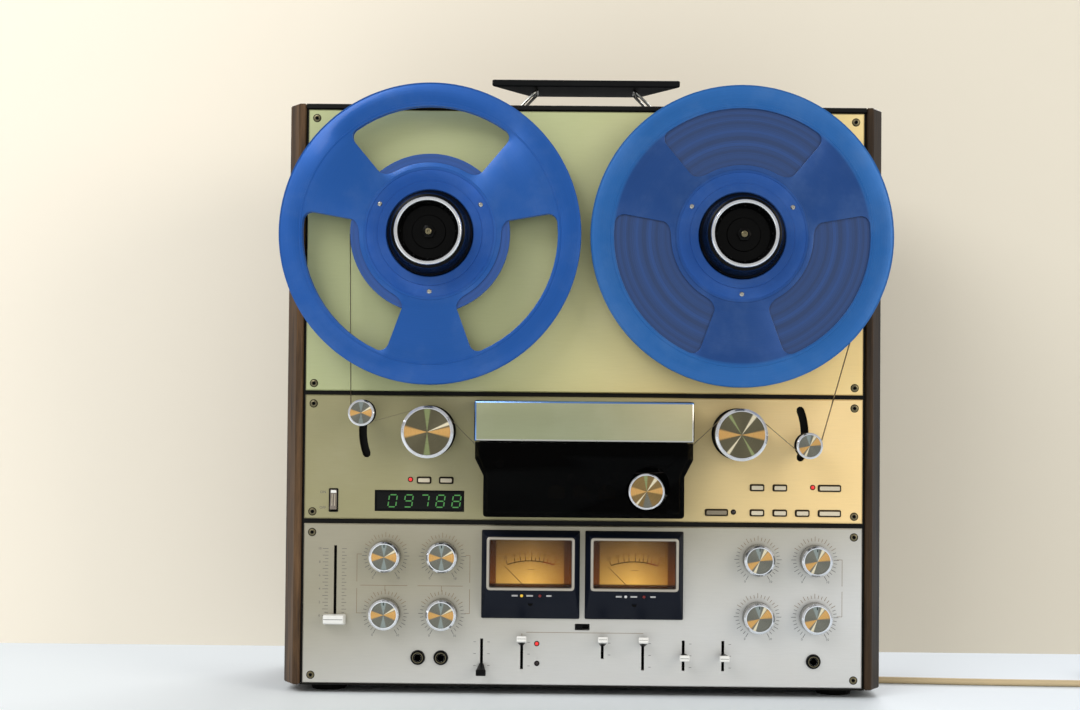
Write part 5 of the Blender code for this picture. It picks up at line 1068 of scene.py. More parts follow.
def makeHeadBlock(settings):
    whole = bmesh.new()
    nose = block(2 * settings["halfWidth"], settings["high"] - settings["low"], 0.0003, settings["reach"], 0.0021,
                 3)
    place = at(0, (settings["high"] + settings["low"]) / 2)
    bmesh.ops.recalc_face_normals(nose, faces=nose.faces[:])
    # flat faces take the nose finish; the top and left bevels a painted blue reflection, the others nickel
    for face in nose.faces:
        plain = max(abs(part) for part in face.normal) > 0.98
        face.material_index = 0 if plain else 5 if face.normal.y > 0.2 or face.normal.x < -0.2 else 1
    nose.transform(place)
    joinTo(whole, nose)
    base = coverLoop(settings, 0.0028, settings["coverTop"] + 0.0006)
    addPart(whole, plate([base], 0.0003, 0.0040, 0.0004), 2)
    for x in settings["heads"]:
        wide, high = settings["headSize"]
        top = settings["headTop"]
        case = [(x + dx, top + dy) for dx, dy in ((-wide / 2, -high), (wide / 2, -high), (wide / 2, -0.0036),
                                                  (wide * 0.22, -0.0009), (0, 0), (-wide * 0.22, -0.0009),
                                                      (-wide / 2, -0.0036))]
        addPart(whole, plate([case], 0.0034, 0.0284, 0.0004), 3)
        addPart(whole, block(0.0028, 0.0006, 0.010, 0.0274, 0.0001), 4, at(x, top - 0.0002))
        addPart(whole, block(wide + 0.003, 0.0050, 0.0034, 0.0200, 0.0004), 2, at(x, top - high - 0.0022))
    for x, z in settings["guides"]:
        post = [(0, 0.0034), (0.0036, 0.0034), (0.0036, 0.0060), (0.0025, 0.0064), (0.0025, 0.0208),
                (0.0034, 0.0212), (0.0034, 0.0220), (0.0024, 0.0222), (0.0024, 0.0290), (0.0034, 0.0292),
                (0.0034, 0.0300), (0.0026, 0.0308), (0, 0.0308)]
        addPart(whole, spin(post, 28), 4, at(x, z))
    addPart(whole, block(0.150, 0.0016, 0.0034, 0.0260, 0.0003), 2, at(0, 0.2225))
    finishPiece("headBlock", whole, ["nosePanel", "nickel", "softBlack", "brass", "nickel", "bevelBlueReflection"],
                "cabinet", ["head_block"])


def makeCapstan(settings):
    whole = bmesh.new()
    shaft = [(0, 0.0034), (0.0030, 0.0034), (0.0030, 0.0284), (0.0026, 0.0290), (0, 0.0290)]
    collar = [(0.0031, 0.0043), (0.0055, 0.0043), (0.0055, 0.0058), (0.0031, 0.0064)]
    x, z = settings["capstan"]
    addPart(whole, spin(shaft, 32), 0, at(x, z))
    addPart(whole, spin(collar, 32, closed=True), 1, at(x, z))
    addPart(whole, spin([(0, 0.0288), (0.0027, 0.0288), (0.0027, 0.0292), (0, 0.0293)], 32), 1, at(x, z))
    finishPiece("capstanShaft", whole, ["nickel", "softBlack"], "capstan_turning", ["capstan"])


def makePinchRoller(settings):
    x, z = settings["pinch"]
    whole = bmesh.new()
    tyre = [(0.0036, 0.0086), (0.0142, 0.0086), (0.0150, 0.0094), (0.0150, 0.0282), (0.0142, 0.0290),
            (0.0036, 0.0290)]
    addPart(whole, spin(tyre, 64, closed=True), 0, at(x, z))
    addCap(whole, at(x, z), 0.0157, 0.0293, 0.0380, 0.0008, steps=64)
    finishPiece("pinchRoller", whole, ["rubber", "spunSide", "rim", "spunGoldGlints"], "pinch_roller_turning",
                ["pinch_roller"], centre=(x, z), sharp=22)


def makeHeadCover(settings):
    whole = bmesh.new()
    wall, reach, back = settings["wall"], settings["reach"], 0.0050
    x, z = settings["pinch"]
    radius = 0.0157 + 0.0016
    swing = (0.0579, 0.1888)  # the pinch roller's centre when engaged
    way = math.atan2(swing[1] - z, swing[0] - x)
    opening = []
    for centre, start in ((swing, way - math.pi / 2), ((x, z), way + math.pi / 2)):
        for step in range(17):
            turn = start + math.pi * step / 16
            opening.append((centre[0] + radius * math.cos(turn), centre[1] + radius * math.sin(turn)))
    outline = coverLoop(settings, 0.0, settings["coverTop"])
    addPart(whole, plate([outline, opening], reach - wall, reach, 0.0005), 0)
    walls = []
    for inset in (0.0, wall):  # the side walls stop at the shoulder, where the tape comes in
        loop = coverLoop(settings, inset, settings["coverTop"])
        half = len(loop) // 2
        walls.append([point for point in loop[half:] + loop[:half] if point[1] <= settings["shoulder"] + 0.0001])
    addPart(whole, plate([walls[0] + walls[1][::-1]], back, reach - wall + 0.0002), 0)
    finishPiece("headCover", whole, ["smoked"], "head_cover_lid", ["head_cover"], sharp=40)


makeHeadBlock(headBlock)
makeCapstan(headBlock)
makePinchRoller(headBlock)
makeHeadCover(headBlock)
print("head block and cover made")


# Tape between the reels, rollers and heads

strand = {"width": 0.0063, "thick": 0.00018, "out": 0.0290, "headOut": 0.0255}


def makeStrand(name, points, body="cabinet"):
    whole = bmesh.new()
    width, thick = strand["width"], strand["thick"]
    loops = []
    for index, (x, y) in enumerate(points):
        before, after = points[max(index - 1, 0)], points[min(index + 1, len(points) - 1)]
        along = Vector((after[0] - before[0], after[1] - before[1])).normalized()
        across = Vector((-along.y, along.x)) * thick / 2
        share = min(max((abs(x) - 0.074) / 0.030, 0), 1)
        out = strand["headOut"] + (strand["out"] - strand["headOut"]) * share * share * (3 - 2 * share)
        loops.append([(x + across.x, y + across.y, out - width / 2), (x - across.x, y - across.y, out - width / 2),
                      (x - across.x, y - across.y, out + width / 2),
                      (x + across.x, y + across.y, out + width / 2)])
    addPart(whole, loft(loops), 0)
    return finishPiece(name, whole, ["tapeStrand"], body, sharp=50)


def straightRun(first, last, step=0.01):
    count = max(1, round((Vector(last) - Vector(first)).length / step))
    return [tuple(Vector(first).lerp(Vector(last), part / count)) for part in range(count + 1)]


def wrapRun(centre, radius, side, wayIn, wayOut):
    turn = (wayOut - wayIn) * side % (2 * math.pi)
    if turn > 5:
        turn = 0.0
    start = wayIn - side * math.pi / 2
    count = max(1, math.ceil(turn / 0.12))
    return [(centre[0] + radius * math.cos(start + side * turn * step / count),
             centre[1] + radius * math.sin(start + side * turn * step / count)) for step in range(1, count)]


def makeStrands():
    half = strand["thick"] / 2 + 0.00005
    groove, body, post = guide["groove"] + half, roller["body"] + half, 0.0025 + half
    heads = headBlock["heads"]
    crown = headBlock["headTop"] - 0.004 + half
    guides = headBlock["guides"]
    # each round's centre, radius and side, which is 1 where it lies left of the tape's way
    rounds = [((-reel["x"], reel["z"]), reel["packs"]["left"] + half, 1), (guide["left"], groove, 1),
              ((-roller["x"], roller["z"]), body, -1), (guides[0], post, 1), ((heads[0], crown), 0.0042, -1),
              ((heads[2], crown), 0.0042, -1), (guides[3], post, -1), (headBlock["capstan"], 0.0030 + half, 1),
              ((roller["x"], roller["z"]), body, -1), (guide["right"], groove, 1),
              ((reel["x"], reel["z"]), reel["packs"]["right"] + half, 1)]
    runs = []
    for (first, firstRadius, firstSide), (second, secondRadius, secondSide) in zip(rounds, rounds[1:]):
        gap = Vector(second) - Vector(first)
        way = math.atan2(gap.y, gap.x) - math.asin((secondSide * secondRadius - firstSide * firstRadius) / gap.length)
        normal = Vector((-math.sin(way), math.cos(way)))
        runs.append((way, Vector(first) - normal * firstSide * firstRadius,
                     Vector(second) - normal * secondSide * secondRadius))

    def wrap(index):
        centre, radius, side = rounds[index]
        return wrapRun(centre, radius, side, runs[index - 1][0], runs[index][0])

    supply = makeStrand("supplyStrand", straightRun(runs[0][1], runs[0][2]), None)
    leftArm = makeStrand("leftArmStrand", [tuple(runs[0][2])] + wrap(1) + straightRun(*runs[1][1:]), None)
    middle = [tuple(runs[1][2])] + wrap(2)
    for index in range(2, 8):
        middle += straightRun(*runs[index][1:]) + wrap(index + 1)
    makeStrand("headStrand", middle + [tuple(runs[8][1])])
    rightArm = makeStrand("rightArmStrand", straightRun(*runs[8][1:]) + wrap(9) + [tuple(runs[9][1])], None)
    takeUp = makeStrand("takeUpStrand", straightRun(*runs[9][1:]), None)
    for piece, fixed, arm, run, leaves in ((supply, "cabinet", "left_arm", runs[0], 1),
                                           (leftArm, "cabinet", "left_arm", runs[1], 2),
                                           (rightArm, "cabinet", "right_arm", runs[8], 1),
                                           (takeUp, "cabinet", "right_arm", runs[9], 2)):
        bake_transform(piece)  # its placing is baked into its points


makeStrands()
print("tape strands made")


# Meters: bezel, silver frame, lit dial, scale, lens and needle

meter = {"x": 0.04625, "width": 0.0878, "low": 0.0686, "high": 0.1472, "reach": 0.0120, "step": 0.0016,
         "sideSlope": 0.0042, "topSlope": 0.0050, "chin": 0.0247, "windowWidth": 0.0730, "windowHigh": 0.1392,
         "windowLow": 0.0972, "floor": 0.0040, "needleZ": 0.0924, "needle": 0.0330, "rest": 45, "arcZ": 0.0549,
         "arc": 0.0653, "spread": 18.6}
scaleMarks = [(0.00, "20"), (0.17, "10"), (0.29, "7"), (0.39, "5"), (0.52, "3"), (0.60, ""), (0.68, "1"),
              (0.77, "0"), (0.85, "1"), (0.92, ""), (1.00, "3")]


def makeMeter(side, settings):
    x = sides[side] * settings["x"]
    whole = bmesh.new()
    middle = (settings["low"] + settings["high"]) / 2
    height = settings["high"] - settings["low"]
    faceLow, faceHigh = settings["low"] + settings["chin"], settings["high"] - settings["topSlope"]
    faceWidth = settings["width"] - 2 * settings["sideSlope"]
    windowMiddle = (settings["windowLow"] + settings["windowHigh"]) / 2
    windowHeight = settings["windowHigh"] - settings["windowLow"]

    def loop(width, tall, radius, centre, out):
        return [(px, py, out) for px, py in rounded(width, tall, radius, 5, x, centre)]

    shell = [loop(settings["width"] - 0.0052, height - 0.0052, 0.0010, middle, -0.0036),
             loop(settings["width"] - 0.0052, height - 0.0052, 0.0010, middle, 0.0003),
             loop(settings["width"] - 0.0006, height - 0.0006, 0.0010, middle, 0.0003),
             loop(settings["width"], height, 0.0012, middle, 0.0006),
             loop(settings["width"], height, 0.0012, middle, settings["step"] - 0.0004),
             loop(settings["width"] - 0.0008, height - 0.0008, 0.0012, middle, settings["step"] + 0.0002),
             loop(faceWidth + 0.0006, faceHigh - faceLow + 0.0006, 0.0012, (faceLow + faceHigh) / 2,
                  settings["reach"] - 0.0004),
             loop(faceWidth - 0.0004, faceHigh - faceLow - 0.0004, 0.0012, (faceLow + faceHigh) / 2,
                  settings["reach"]),
             loop(settings["windowWidth"] + 0.0020, windowHeight + 0.0020, 0.0016, windowMiddle,
                  settings["reach"]),
             loop(settings["windowWidth"], windowHeight, 0.0010, windowMiddle, settings["reach"] - 0.0006),
             loop(settings["windowWidth"], windowHeight, 0.0010, windowMiddle, settings["floor"])]
    addPart(whole, loft(shell), 0)
    frameOut = [(settings["windowWidth"] + 0.0052, windowHeight + 0.0052, 0.0030, settings["reach"] - 0.0004),
                (settings["windowWidth"] + 0.0052, windowHeight + 0.0052, 0.0030, settings["reach"] + 0.0006),
                (settings["windowWidth"] + 0.0040, windowHeight + 0.0040, 0.0026, settings["reach"] + 0.0011),
                (settings["windowWidth"] + 0.0014, windowHeight + 0.0014, 0.0018, settings["reach"] + 0.0011),
                (settings["windowWidth"] + 0.0002, windowHeight + 0.0002, 0.0012, settings["reach"] + 0.0005),
                (settings["windowWidth"] + 0.0002, windowHeight + 0.0002, 0.0012, settings["reach"] - 0.0004)]
    addPart(whole, loft([loop(width, tall, radius, windowMiddle, out) for width, tall, radius, out in frameOut],
                        (False, False)), 1)
    slope = math.atan((settings["reach"] - settings["step"]) / settings["chin"])

    def onChin(px, py):
        share = (py - settings["low"]) / settings["chin"]
        out = settings["step"] + (settings["reach"] - settings["step"]) * share
        return Matrix.Translation((x + px, py, out)) @ Matrix.Rotation(-slope, 4, "X")

    for start, end in ((-0.0165, -0.0113), (-0.0035, 0.0024), (0.0142, 0.0188)):  # plain bars beside the lamps
        for lift in (-0.0004, 0.0004):
            addPart(whole, block(end - start, 0.0004, -0.0004, 0.00006), 2,
                    onChin((start + end) / 2, 0.0898 + lift))
    addPart(whole, spin([(0, -0.0004), (0.0013, -0.0004), (0.0013, 0.0003), (0.0009, 0.0007), (0, 0.0008)], 20),
            3 if side == "left" else 2, onChin(-0.0077, 0.0898))
    addPart(whole, spin([(0, -0.0004), (0.0013, -0.0004), (0.0013, 0.0003), (0.0009, 0.0007), (0, 0.0008)], 20), 4,
            onChin(0.0085, 0.0898))
    # the adjust hole and its screw slit in black: painted shade in the hole
    addPart(whole, spin([(0, 0.0001), (0.0013, 0.0001), (0.0014, -0.0005), (0.0019, -0.0005), (0.0021, 0.0002),
                         (0.0019, 0.0004), (0.0016, 0.0004), (0.0012, -0.0001), (0, -0.0001)], 28), 5,
            onChin(0, 0.0823))
    addPart(whole, block(0.0022, 0.0004, -0.0003, 0.00016), 6, onChin(0, 0.0823))
    return whole, (x, windowMiddle)


def makeDial(side, settings):
    x = sides[side] * settings["x"]
    windowMiddle = (settings["windowLow"] + settings["windowHigh"]) / 2
    windowHeight = settings["windowHigh"] - settings["windowLow"]
    whole = bmesh.new()
    addPart(whole, block(settings["windowWidth"] - 0.0002, windowHeight - 0.0002, settings["floor"] - 0.0008,
                         settings["floor"] + 0.0002),
            0, at(x, windowMiddle))
    inkOut = settings["floor"] + 0.0002
    pivot = settings["arcZ"]
    spread = math.radians(settings["spread"])
    radius = settings["arc"]
    arc = []
    for step in range(41):
        turn = math.pi / 2 + spread - 2 * spread * step / 40
        arc.append((radius * math.cos(turn), radius * math.sin(turn), 0.0))
    for inner, outer, first, last, paint in ((radius - 0.0004, radius + 0.0004, 0, 31, 1),
            (radius - 0.0005, radius + 0.0005, 30, 40, 2)):
        band = []
        for step in range(first, last + 1):
            turn = math.pi / 2 + spread - 2 * spread * step / 40
            band.append([(inner * math.cos(turn), inner * math.sin(turn), inkOut - 0.0002),
                         (outer * math.cos(turn), outer * math.sin(turn), inkOut - 0.0002),
                         (outer * math.cos(turn), outer * math.sin(turn), inkOut + 0.00006),
                         (inner * math.cos(turn), inner * math.sin(turn), inkOut + 0.00006)])
        addPart(whole, loft(band), paint, at(x, pivot))
    for share, label in scaleMarks:
        turn = math.pi / 2 + spread - 2 * spread * share
        paint = 2 if share > 0.80 else 1
        long = 0.0040 if label else 0.0028
        reach = radius + long / 2
        addMark(whole, x + reach * math.cos(turn), pivot + reach * math.sin(turn), long, 0.00055, paint, turn,
                inkOut)
        if label:
            reach = radius + 0.0062
            addDigits(whole, label, 0.0036, at(x + reach * math.cos(turn), pivot + reach * math.sin(turn),
                    inkOut + 0.00002,
                                               (turn - math.pi / 2) * 0.8), paint)
    for step in range(21):
        if step % 2:
            share = step / 20
            turn = math.pi / 2 + spread - 2 * spread * share
            reach = radius - 0.0011
            addMark(whole, x + reach * math.cos(turn), pivot + reach * math.sin(turn), 0.0014, 0.00025, 1, turn,
                    inkOut)
    addMark(whole, x + 0.0005, 0.1126, 0.0062, 0.0003, 1, 0, inkOut)
    finishPiece(side + "Dial", whole, ["dial", "dialInk", "dialRed"], "cabinet",
                centre=(x, windowMiddle))


def makeNeedle(side, settings):
    x = sides[side] * settings["x"]
    whole = bmesh.new()
    low, high = settings["floor"] + 0.0024, settings["floor"] + 0.0031
    blade = [(-0.00035, 0.0), (0.00035, 0.0), (0.00016, settings["needle"]), (-0.00016, settings["needle"])]
    addPart(whole, plate([blade], low, high), 0)
    hub = [(0, -0.0002), (0.0011, -0.0002), (0.0011, low - 0.0002), (0.0021, low - 0.0002), (0.0021, high),
           (0.0016, high + 0.0003), (0, high + 0.0003)]
    addPart(whole, spin([(radius, out) for radius, out in hub], 28), 0)
    whole.transform(at(x, settings["needleZ"], 0, math.radians(settings["rest"])))
    finishPiece(side + "Needle", whole, ["dialInk"], side + "_needle", [side + "_meter_needle"])


def makeMeters():
    unit = bmesh.new()
    for side in sides:
        part, middle = makeMeter(side, meter)
        joinTo(unit, part)
        makeDial(side, meter)
        makeNeedle(side, meter)
        lens = bmesh.new()
        addPart(lens, block(meter["windowWidth"] - 0.0006, meter["windowHigh"] - meter["windowLow"] - 0.0006,
                            0.0098, 0.0106, 0.0001, 1), 0,
                at(*middle))
        finishPiece(side + "Lens", lens, ["clear"], "cabinet")
    addPart(unit, block(0.1830, 0.0746, -0.0077, -0.0033), 0, at(0, 0.1079))
    finishPiece("meterUnit", unit, ["bezel", "silver", "paleInk", "amberLamp", "dimRed", "slot", "slot"],
                "cabinet", ["meter_unit"])


makeMeters()
print("meters made")


# Keys, knobs, levers, fader and the other controls

keys = {
    "reset_button": (-0.14251, 0.19101, 0.0113), "search_button": (-0.12263, 0.19101, 0.0113),
    "rewind_button": (0.15561, 0.18713, 0.0113), "forward_button": (0.17599, 0.18713, 0.0113),
    "record_button": (0.22032, 0.18713, 0.0190), "pause_button": (0.11943, 0.16467, 0.0190),
    "back_button": (0.15561, 0.16467, 0.0113), "wind_button": (0.17599, 0.16467, 0.0113),
    "play_button": (0.19608, 0.16467, 0.0113), "stop_button": (0.22032, 0.16467, 0.0190),
}
keySize = {"height": 0.0046, "reach": 0.0026, "frame": 0.0007, "lip": 0.0002}
knob = {"radius": 0.0136, "reach": 0.0165, "lift": 0.0008, "tickStart": 0.0168, "tickEnd": 0.0198, "ticks": 31,
        "sweep": 300}
knobRows = {"upper": 0.12300, "lower": 0.07191}
knobColumns = {"left": {"outer": -0.17629, "inner": -0.12532}, "right": {"inner": 0.15681, "outer": 0.20778}}
levers = {"input_lever": (-0.08950, -1, (-1, 1)), "monitor_lever": (-0.05362, 1, (-1, 1)),
          "sync_lever": (0.01839, 1, (0, 1)), "speed_lever": (0.05452, 1, (-1, 1)),
          "equaliser_lever": (0.09070, 0, (-1, 1)), "bias_lever": (0.12602, 0, (-1, 1))}
lever = {"z": 0.036645, "depth": 0.027, "swing": 20, "reach": 0.0185, "width": 0.0088, "height": 0.0052}


def makeKeys():
    frames = bmesh.new()
    for name, (x, z, width) in keys.items():
        cap = bmesh.new()
        height, reach = keySize["height"], keySize["reach"]
        loops = [[(px, py, out) for px, py in rounded(width - trim, height - trim, 0.0008, 4)]
                 for trim, out in ((0.0004, -0.0060), (0.0004, -0.0030), (0.0, -0.0028), (0.0, reach - 0.0007),
                                   (0.0005, reach - 0.0002), (0.0011, reach), (0.0013, reach),
                                   (0.0026, reach - 0.00005))]
        body = loft(loops)
        for face in body.faces:  # only the top of a key is pale
            face.material_index = 0 if all(vert.co.z > reach - 0.0001 for vert in face.verts) else 1
        body.transform(at(x, z))
        addPart(cap, body, None)
        finishPiece(name.replace("_button", "Cap"), cap,
                    ["keyDark" if name == "pause_button" else "key", "keyEdge"], name + "_key",
                    [name], sharp=40)
        lip, outer = keySize["lip"], keySize["frame"]
        wide, tall = width + 2 * outer, height + 2 * outer
        rim = [(wide + 2 * lip, tall + 2 * lip, 0.0015, -0.0002), (wide + 2 * lip, tall + 2 * lip, 0.0015, 0.0005),
               (wide + 2 * lip - 0.0003, tall + 2 * lip - 0.0003, 0.0013, 0.0008),
               (wide - 0.0006, tall - 0.0006, 0.0008, 0.0008), (wide - 0.0008, tall - 0.0008, 0.0007, 0.0004),
               (wide - 0.0008, tall - 0.0008, 0.0007, -0.0040)]
        addPart(frames, loft([[(px, py, out) for px, py in rounded(w, h, r, 4)] for w, h, r, out in rim],
                             (False, False)), 0,
                at(x, z))
        # a black sheet deep in each key's well: painted shade in the gap round the key
        addMark(frames, x, z, wide, tall, 1, 0, -0.0049)
    finishPiece("keyFrames", frames, ["plastic", "slot"], "cabinet")


def makeKnob(name, x, z, warm):
    whole = bmesh.new()
    radius, reach = knob["radius"], knob["reach"]
    skirt = [(0, knob["lift"]), (radius - 0.0003, knob["lift"]), (radius, knob["lift"] + 0.0003),
             (radius, knob["lift"] + 0.0012), (radius - 0.0005, knob["lift"] + 0.0016), (radius - 0.0005, 0.0020),
             (0, 0.0020)]
    addPart(whole, spin(skirt, 72), 0, at(x, z))
    addCap(whole, at(x, z), radius, 0.0020, reach, 0.0015)
    for step in range(48):  # fine grip flutes
        turn = 2 * math.pi * step / 48
        flute = block(0.0004, 0.0007, 0.0030, reach - 0.0022, 0.0001, 1)
        addPart(whole, flute, 1, at(x, z) @ Matrix.Rotation(turn, 4,
                "Z") @ Matrix.Translation((radius + 0.00005, 0, 0)))
    turn = math.pi / 2
    addPart(whole, block(0.0034, 0.0007, reach - 0.0012, reach - 0.00005, 0.0001, 1), 4,
            at(x, z) @ Matrix.Rotation(turn, 4, "Z") @ Matrix.Translation((radius - 0.0034, 0, 0)))
    finishPiece(name, whole, ["softBlack", "spunSide", "rim", "spunWarmGlints" if warm else "spunCoolGlints", "slot"],
                name + "_turning", [name], centre=(x, z), sharp=22)


def makeKnobs():
    scale = bmesh.new()
    for side, columns in knobColumns.items():
        for column, x in columns.items():
            for row, z in knobRows.items():
                makeKnob(f"{side}_{column}_{row}_knob", x, z, side == "right")
                for step in range(knob["ticks"]):
                    turn = math.radians(90 + knob["sweep"] / 2 - knob["sweep"] * step / (knob["ticks"] - 1))
                    main = step % 3 == 0
                    start, end = knob["tickStart"], knob["tickEnd"] + (0.0014 if main else 0.0)
                    reach = (start + end) / 2
                    pale = math.sin(turn) > 0.35
                    addMark(scale, x + reach * math.cos(turn), z + reach * math.sin(turn), end - start, 0.00045,
                            1 if pale else 0, turn)
                for label, share in (("0", 0.0), ("10", 1.0)):
                    turn = math.radians(90 + knob["sweep"] / 2 - knob["sweep"] * share)
                    addDigits(scale, label, 0.0030, at(x + 0.0228 * math.cos(turn), z + 0.0228 * math.sin(turn)),
                              0)
    links = [(-0.2018, 0.1244, -0.2018, 0.1000), (-0.2018, 0.0938, -0.2018, 0.0718),
             (-0.2018, 0.1244, -0.1978, 0.1244), (-0.2018, 0.0718, -0.1978, 0.0718),
             (-0.1983, 0.0966, -0.1567, 0.0966), (-0.1471, 0.0966, -0.1071, 0.0966),
             (-0.1007, 0.1240, -0.1007, 0.1000), (-0.1007, 0.0938, -0.1007, 0.0722),
             (-0.1045, 0.1240, -0.1007, 0.1240), (-0.1045, 0.0722, -0.1007, 0.0722),
             (-0.1766, 0.0966, -0.1766, 0.0918), (-0.1260, 0.0966, -0.1260, 0.0918),
             (0.2320, 0.1234, 0.2320, 0.1000), (0.2320, 0.0950, 0.2320, 0.0727), (0.2276, 0.1234, 0.2320, 0.1234),
             (0.2276, 0.0727, 0.2320, 0.0727), (-0.0495, 0.0561, 0.0547, 0.0561),
             (-0.0536, 0.0533, -0.0536, 0.0548)]
    for startX, startZ, endX, endZ in links:
        addMark(scale, (startX + endX) / 2, (startZ + endZ) / 2, abs(endX - startX) + 0.0004,
                abs(endZ - startZ) + 0.0004, 2)
    for column, (near, far) in enumerate(((-0.2326, -0.2275), (-0.2153, -0.2111))):
        for step in range(21):
            z = 0.0690 + step * 0.0030
            long = far - near if step % 2 == 0 else (far - near) * 0.6
            start = far - long if column == 0 else near
            addMark(scale, start + long / 2, z, long, 0.0004, 0)
    for step in range(0, 11, 2):
        addDigits(scale, str(step), 0.0030, at(-0.2352, 0.0690 + step * 0.0060), 0)
    for x, rest, turns in levers.values():
        for turn in sorted({turns[0], 0, turns[1]}):
            height = lever["z"] + 0.0105 * turn
            addMark(scale, x + 0.0062, height, 0.0022, 0.0004, 0)
            if x < -0.08:
                addMark(scale, x - 0.0062, height, 0.0022, 0.0004, 0)
    addDigits(scale, "ON", 0.0034, at(-0.2330, 0.1795), 0)
    addDigits(scale, "OFF", 0.0034, at(-0.2332, 0.1655), 0)
    finishPiece("scaleMarks", scale, ["ink", "warmInk", "warmInk"], "cabinet")


def makeLevers():
    for name, (x, rest, turns) in levers.items():
        whole = bmesh.new()
        depth, reach = lever["depth"], lever["reach"]

        def ring(width, height, out, radius=0.0006):
            return [(px, py, out + depth) for px, py in rounded(width, height, radius, 4)]

        stem = [ring(0.0020, 0.0046, -depth + 0.0030), ring(0.0020, 0.0046, 0.0031), ring(0.0042, 0.0047, 0.0035),
                ring(0.0062, 0.0049, 0.0100), ring(lever["width"] - 0.0006, lever["height"] - 0.0004, 0.0158)]
        addPart(whole, loft(stem), 0)
        barrel = spin([(0, -0.0031), (0.0033, -0.0031), (0.0035, -0.0029), (0.0035, 0.0029), (0.0033, 0.0031),
                       (0, 0.0031)], 28)
        addPart(whole, barrel, 0, Matrix.Rotation(math.pi / 2, 4, "Y"))
        cap = [ring(lever["width"] - 0.0006, lever["height"] - 0.0006, 0.0152),
               ring(lever["width"], lever["height"], 0.0156, 0.0008),
               ring(lever["width"], lever["height"], reach - 0.0007, 0.0008),
               ring(lever["width"] - 0.0008, lever["height"] - 0.0008, reach - 0.0001),
               ring(lever["width"] - 0.0016, lever["height"] - 0.0016, reach)]
        addPart(whole, loft(cap), 1 if rest >= 0 else 0)
        addPart(whole, block(lever["width"] - 0.0014, 0.0004, reach - 0.0002 + depth, reach + 0.00002 + depth), 2)
        tilt = Matrix.Translation((x, lever["z"], -depth)) @ Matrix.Rotation(-rest * math.radians(lever["swing"]),
                4, "X")
        whole.transform(tilt)
        finishPiece(name.replace("_lever", "Lever"), whole, ["plastic", "white", "softBlack"], name + "_bat",
                    [name], sharp=35)


fader = {"x": -0.22117, "z": 0.06614, "width": 0.0200, "height": 0.0094, "low": 0.0015, "reach": 0.0135}


def makeFader(settings):
    whole = bmesh.new()
    width, height, reach = settings["width"], settings["height"], settings["reach"]
    loops = [[(px, py + lift, out) for px, py in rounded(width - trim, height - trim, 0.0012, 5)]
             for trim, lift, out in ((0.0006, 0, settings["low"]), (0.0, 0, settings["low"] + 0.0005),
                                     (0.0006, 0.0002, 0.0060), (0.0016, 0.0008, reach - 0.0010),
                                     (0.0024, 0.0010, reach - 0.0002), (0.0036, 0.0010, reach))]
    addPart(whole, loft(loops), 0)
    addPart(whole, block(width - 0.0030, 0.0005, reach - 0.0003, reach + 0.00004), 1, at(0, 0.0010))
    for lift in (-0.0016, -0.0008, 0.0028, 0.0036):
        addPart(whole, block(width - 0.0044, 0.0004, reach - 0.0003, reach + 0.00008, 0.0001, 1), 0, at(0, lift))
    addPart(whole, block(0.0020, 0.0050, -0.0088, 0.0018), 2)
    whole.transform(at(settings["x"], settings["z"]))
    finishPiece("levelFader", whole, ["white", "ink", "steel"], "fader_slider", ["level_fader"],
                sharp=35)


rocker = {"x": -0.22352, "z": 0.17244, "width": 0.0058, "half": 0.0088, "reach": 0.0022, "tilt": -8}


def makeRocker(settings):
    whole = bmesh.new()
    half, reach = settings["half"], settings["reach"]
    outline = [(-half, reach), (-half + 0.0010, reach + 0.0001), (-0.0030, 0.0012), (0, 0.0010), (0.0030, 0.0012),
               (half - 0.0010, reach + 0.0001), (half, reach), (half, -0.0020), (0.0050, -0.0080),
               (-0.0050, -0.0080), (-half, -0.0020)]
    body = plate([outline], -settings["width"] / 2, settings["width"] / 2, 0.0003)
    # the outline was drawn up and out; turn it so that its thickness lies across
    body.transform(Matrix(((0, 0, 1, 0), (1, 0, 0, 0), (0, 1, 0, 0), (0, 0, 0, 1))))
    addPart(whole, body, 0)
    for across in (-0.0012, 0.0012):
        addPart(whole, block(0.0005, 0.0120, 0.0, 0.0018, 0.0001, 1), 1, at(across, -0.0012))
    # a pale band on the top end: partly its silver cap, partly a painted highlight
    addPart(whole, block(settings["width"] - 0.0008, 0.0026, reach - 0.0010, reach + 0.0002, 0.0003, 1), 2,
            at(0, 0.0072))
    swing = Matrix.Translation((settings["x"], settings["z"],
                                -0.0020)) @ Matrix.Rotation(math.radians(settings["tilt"]), 4, "X") \
        @ Matrix.Translation((0, 0, 0.0020))
    whole.transform(swing)
    finishPiece("powerSwitch", whole, ["rocker", "key", "white"], "power_rocker",
                ["power_switch"], sharp=35)
    frameRing = bmesh.new()
    inner = rounded(settings["width"] + 0.0006, 2 * half + 0.0016, 0.0003, 4)
    outer = rounded(settings["width"] + 0.0026, 2 * half + 0.0036, 0.0008, 4)
    addPart(frameRing, plate([outer, inner], -0.0002, 0.0006, 0.0002), 0, at(settings["x"], settings["z"]))
    finishPiece("rockerFrame", frameRing, ["plastic"], "cabinet")


slider = {"x": -0.0023, "z": 0.0613, "width": 0.0055, "height": 0.0036, "reach": 0.0016, "travel": 0.0052}


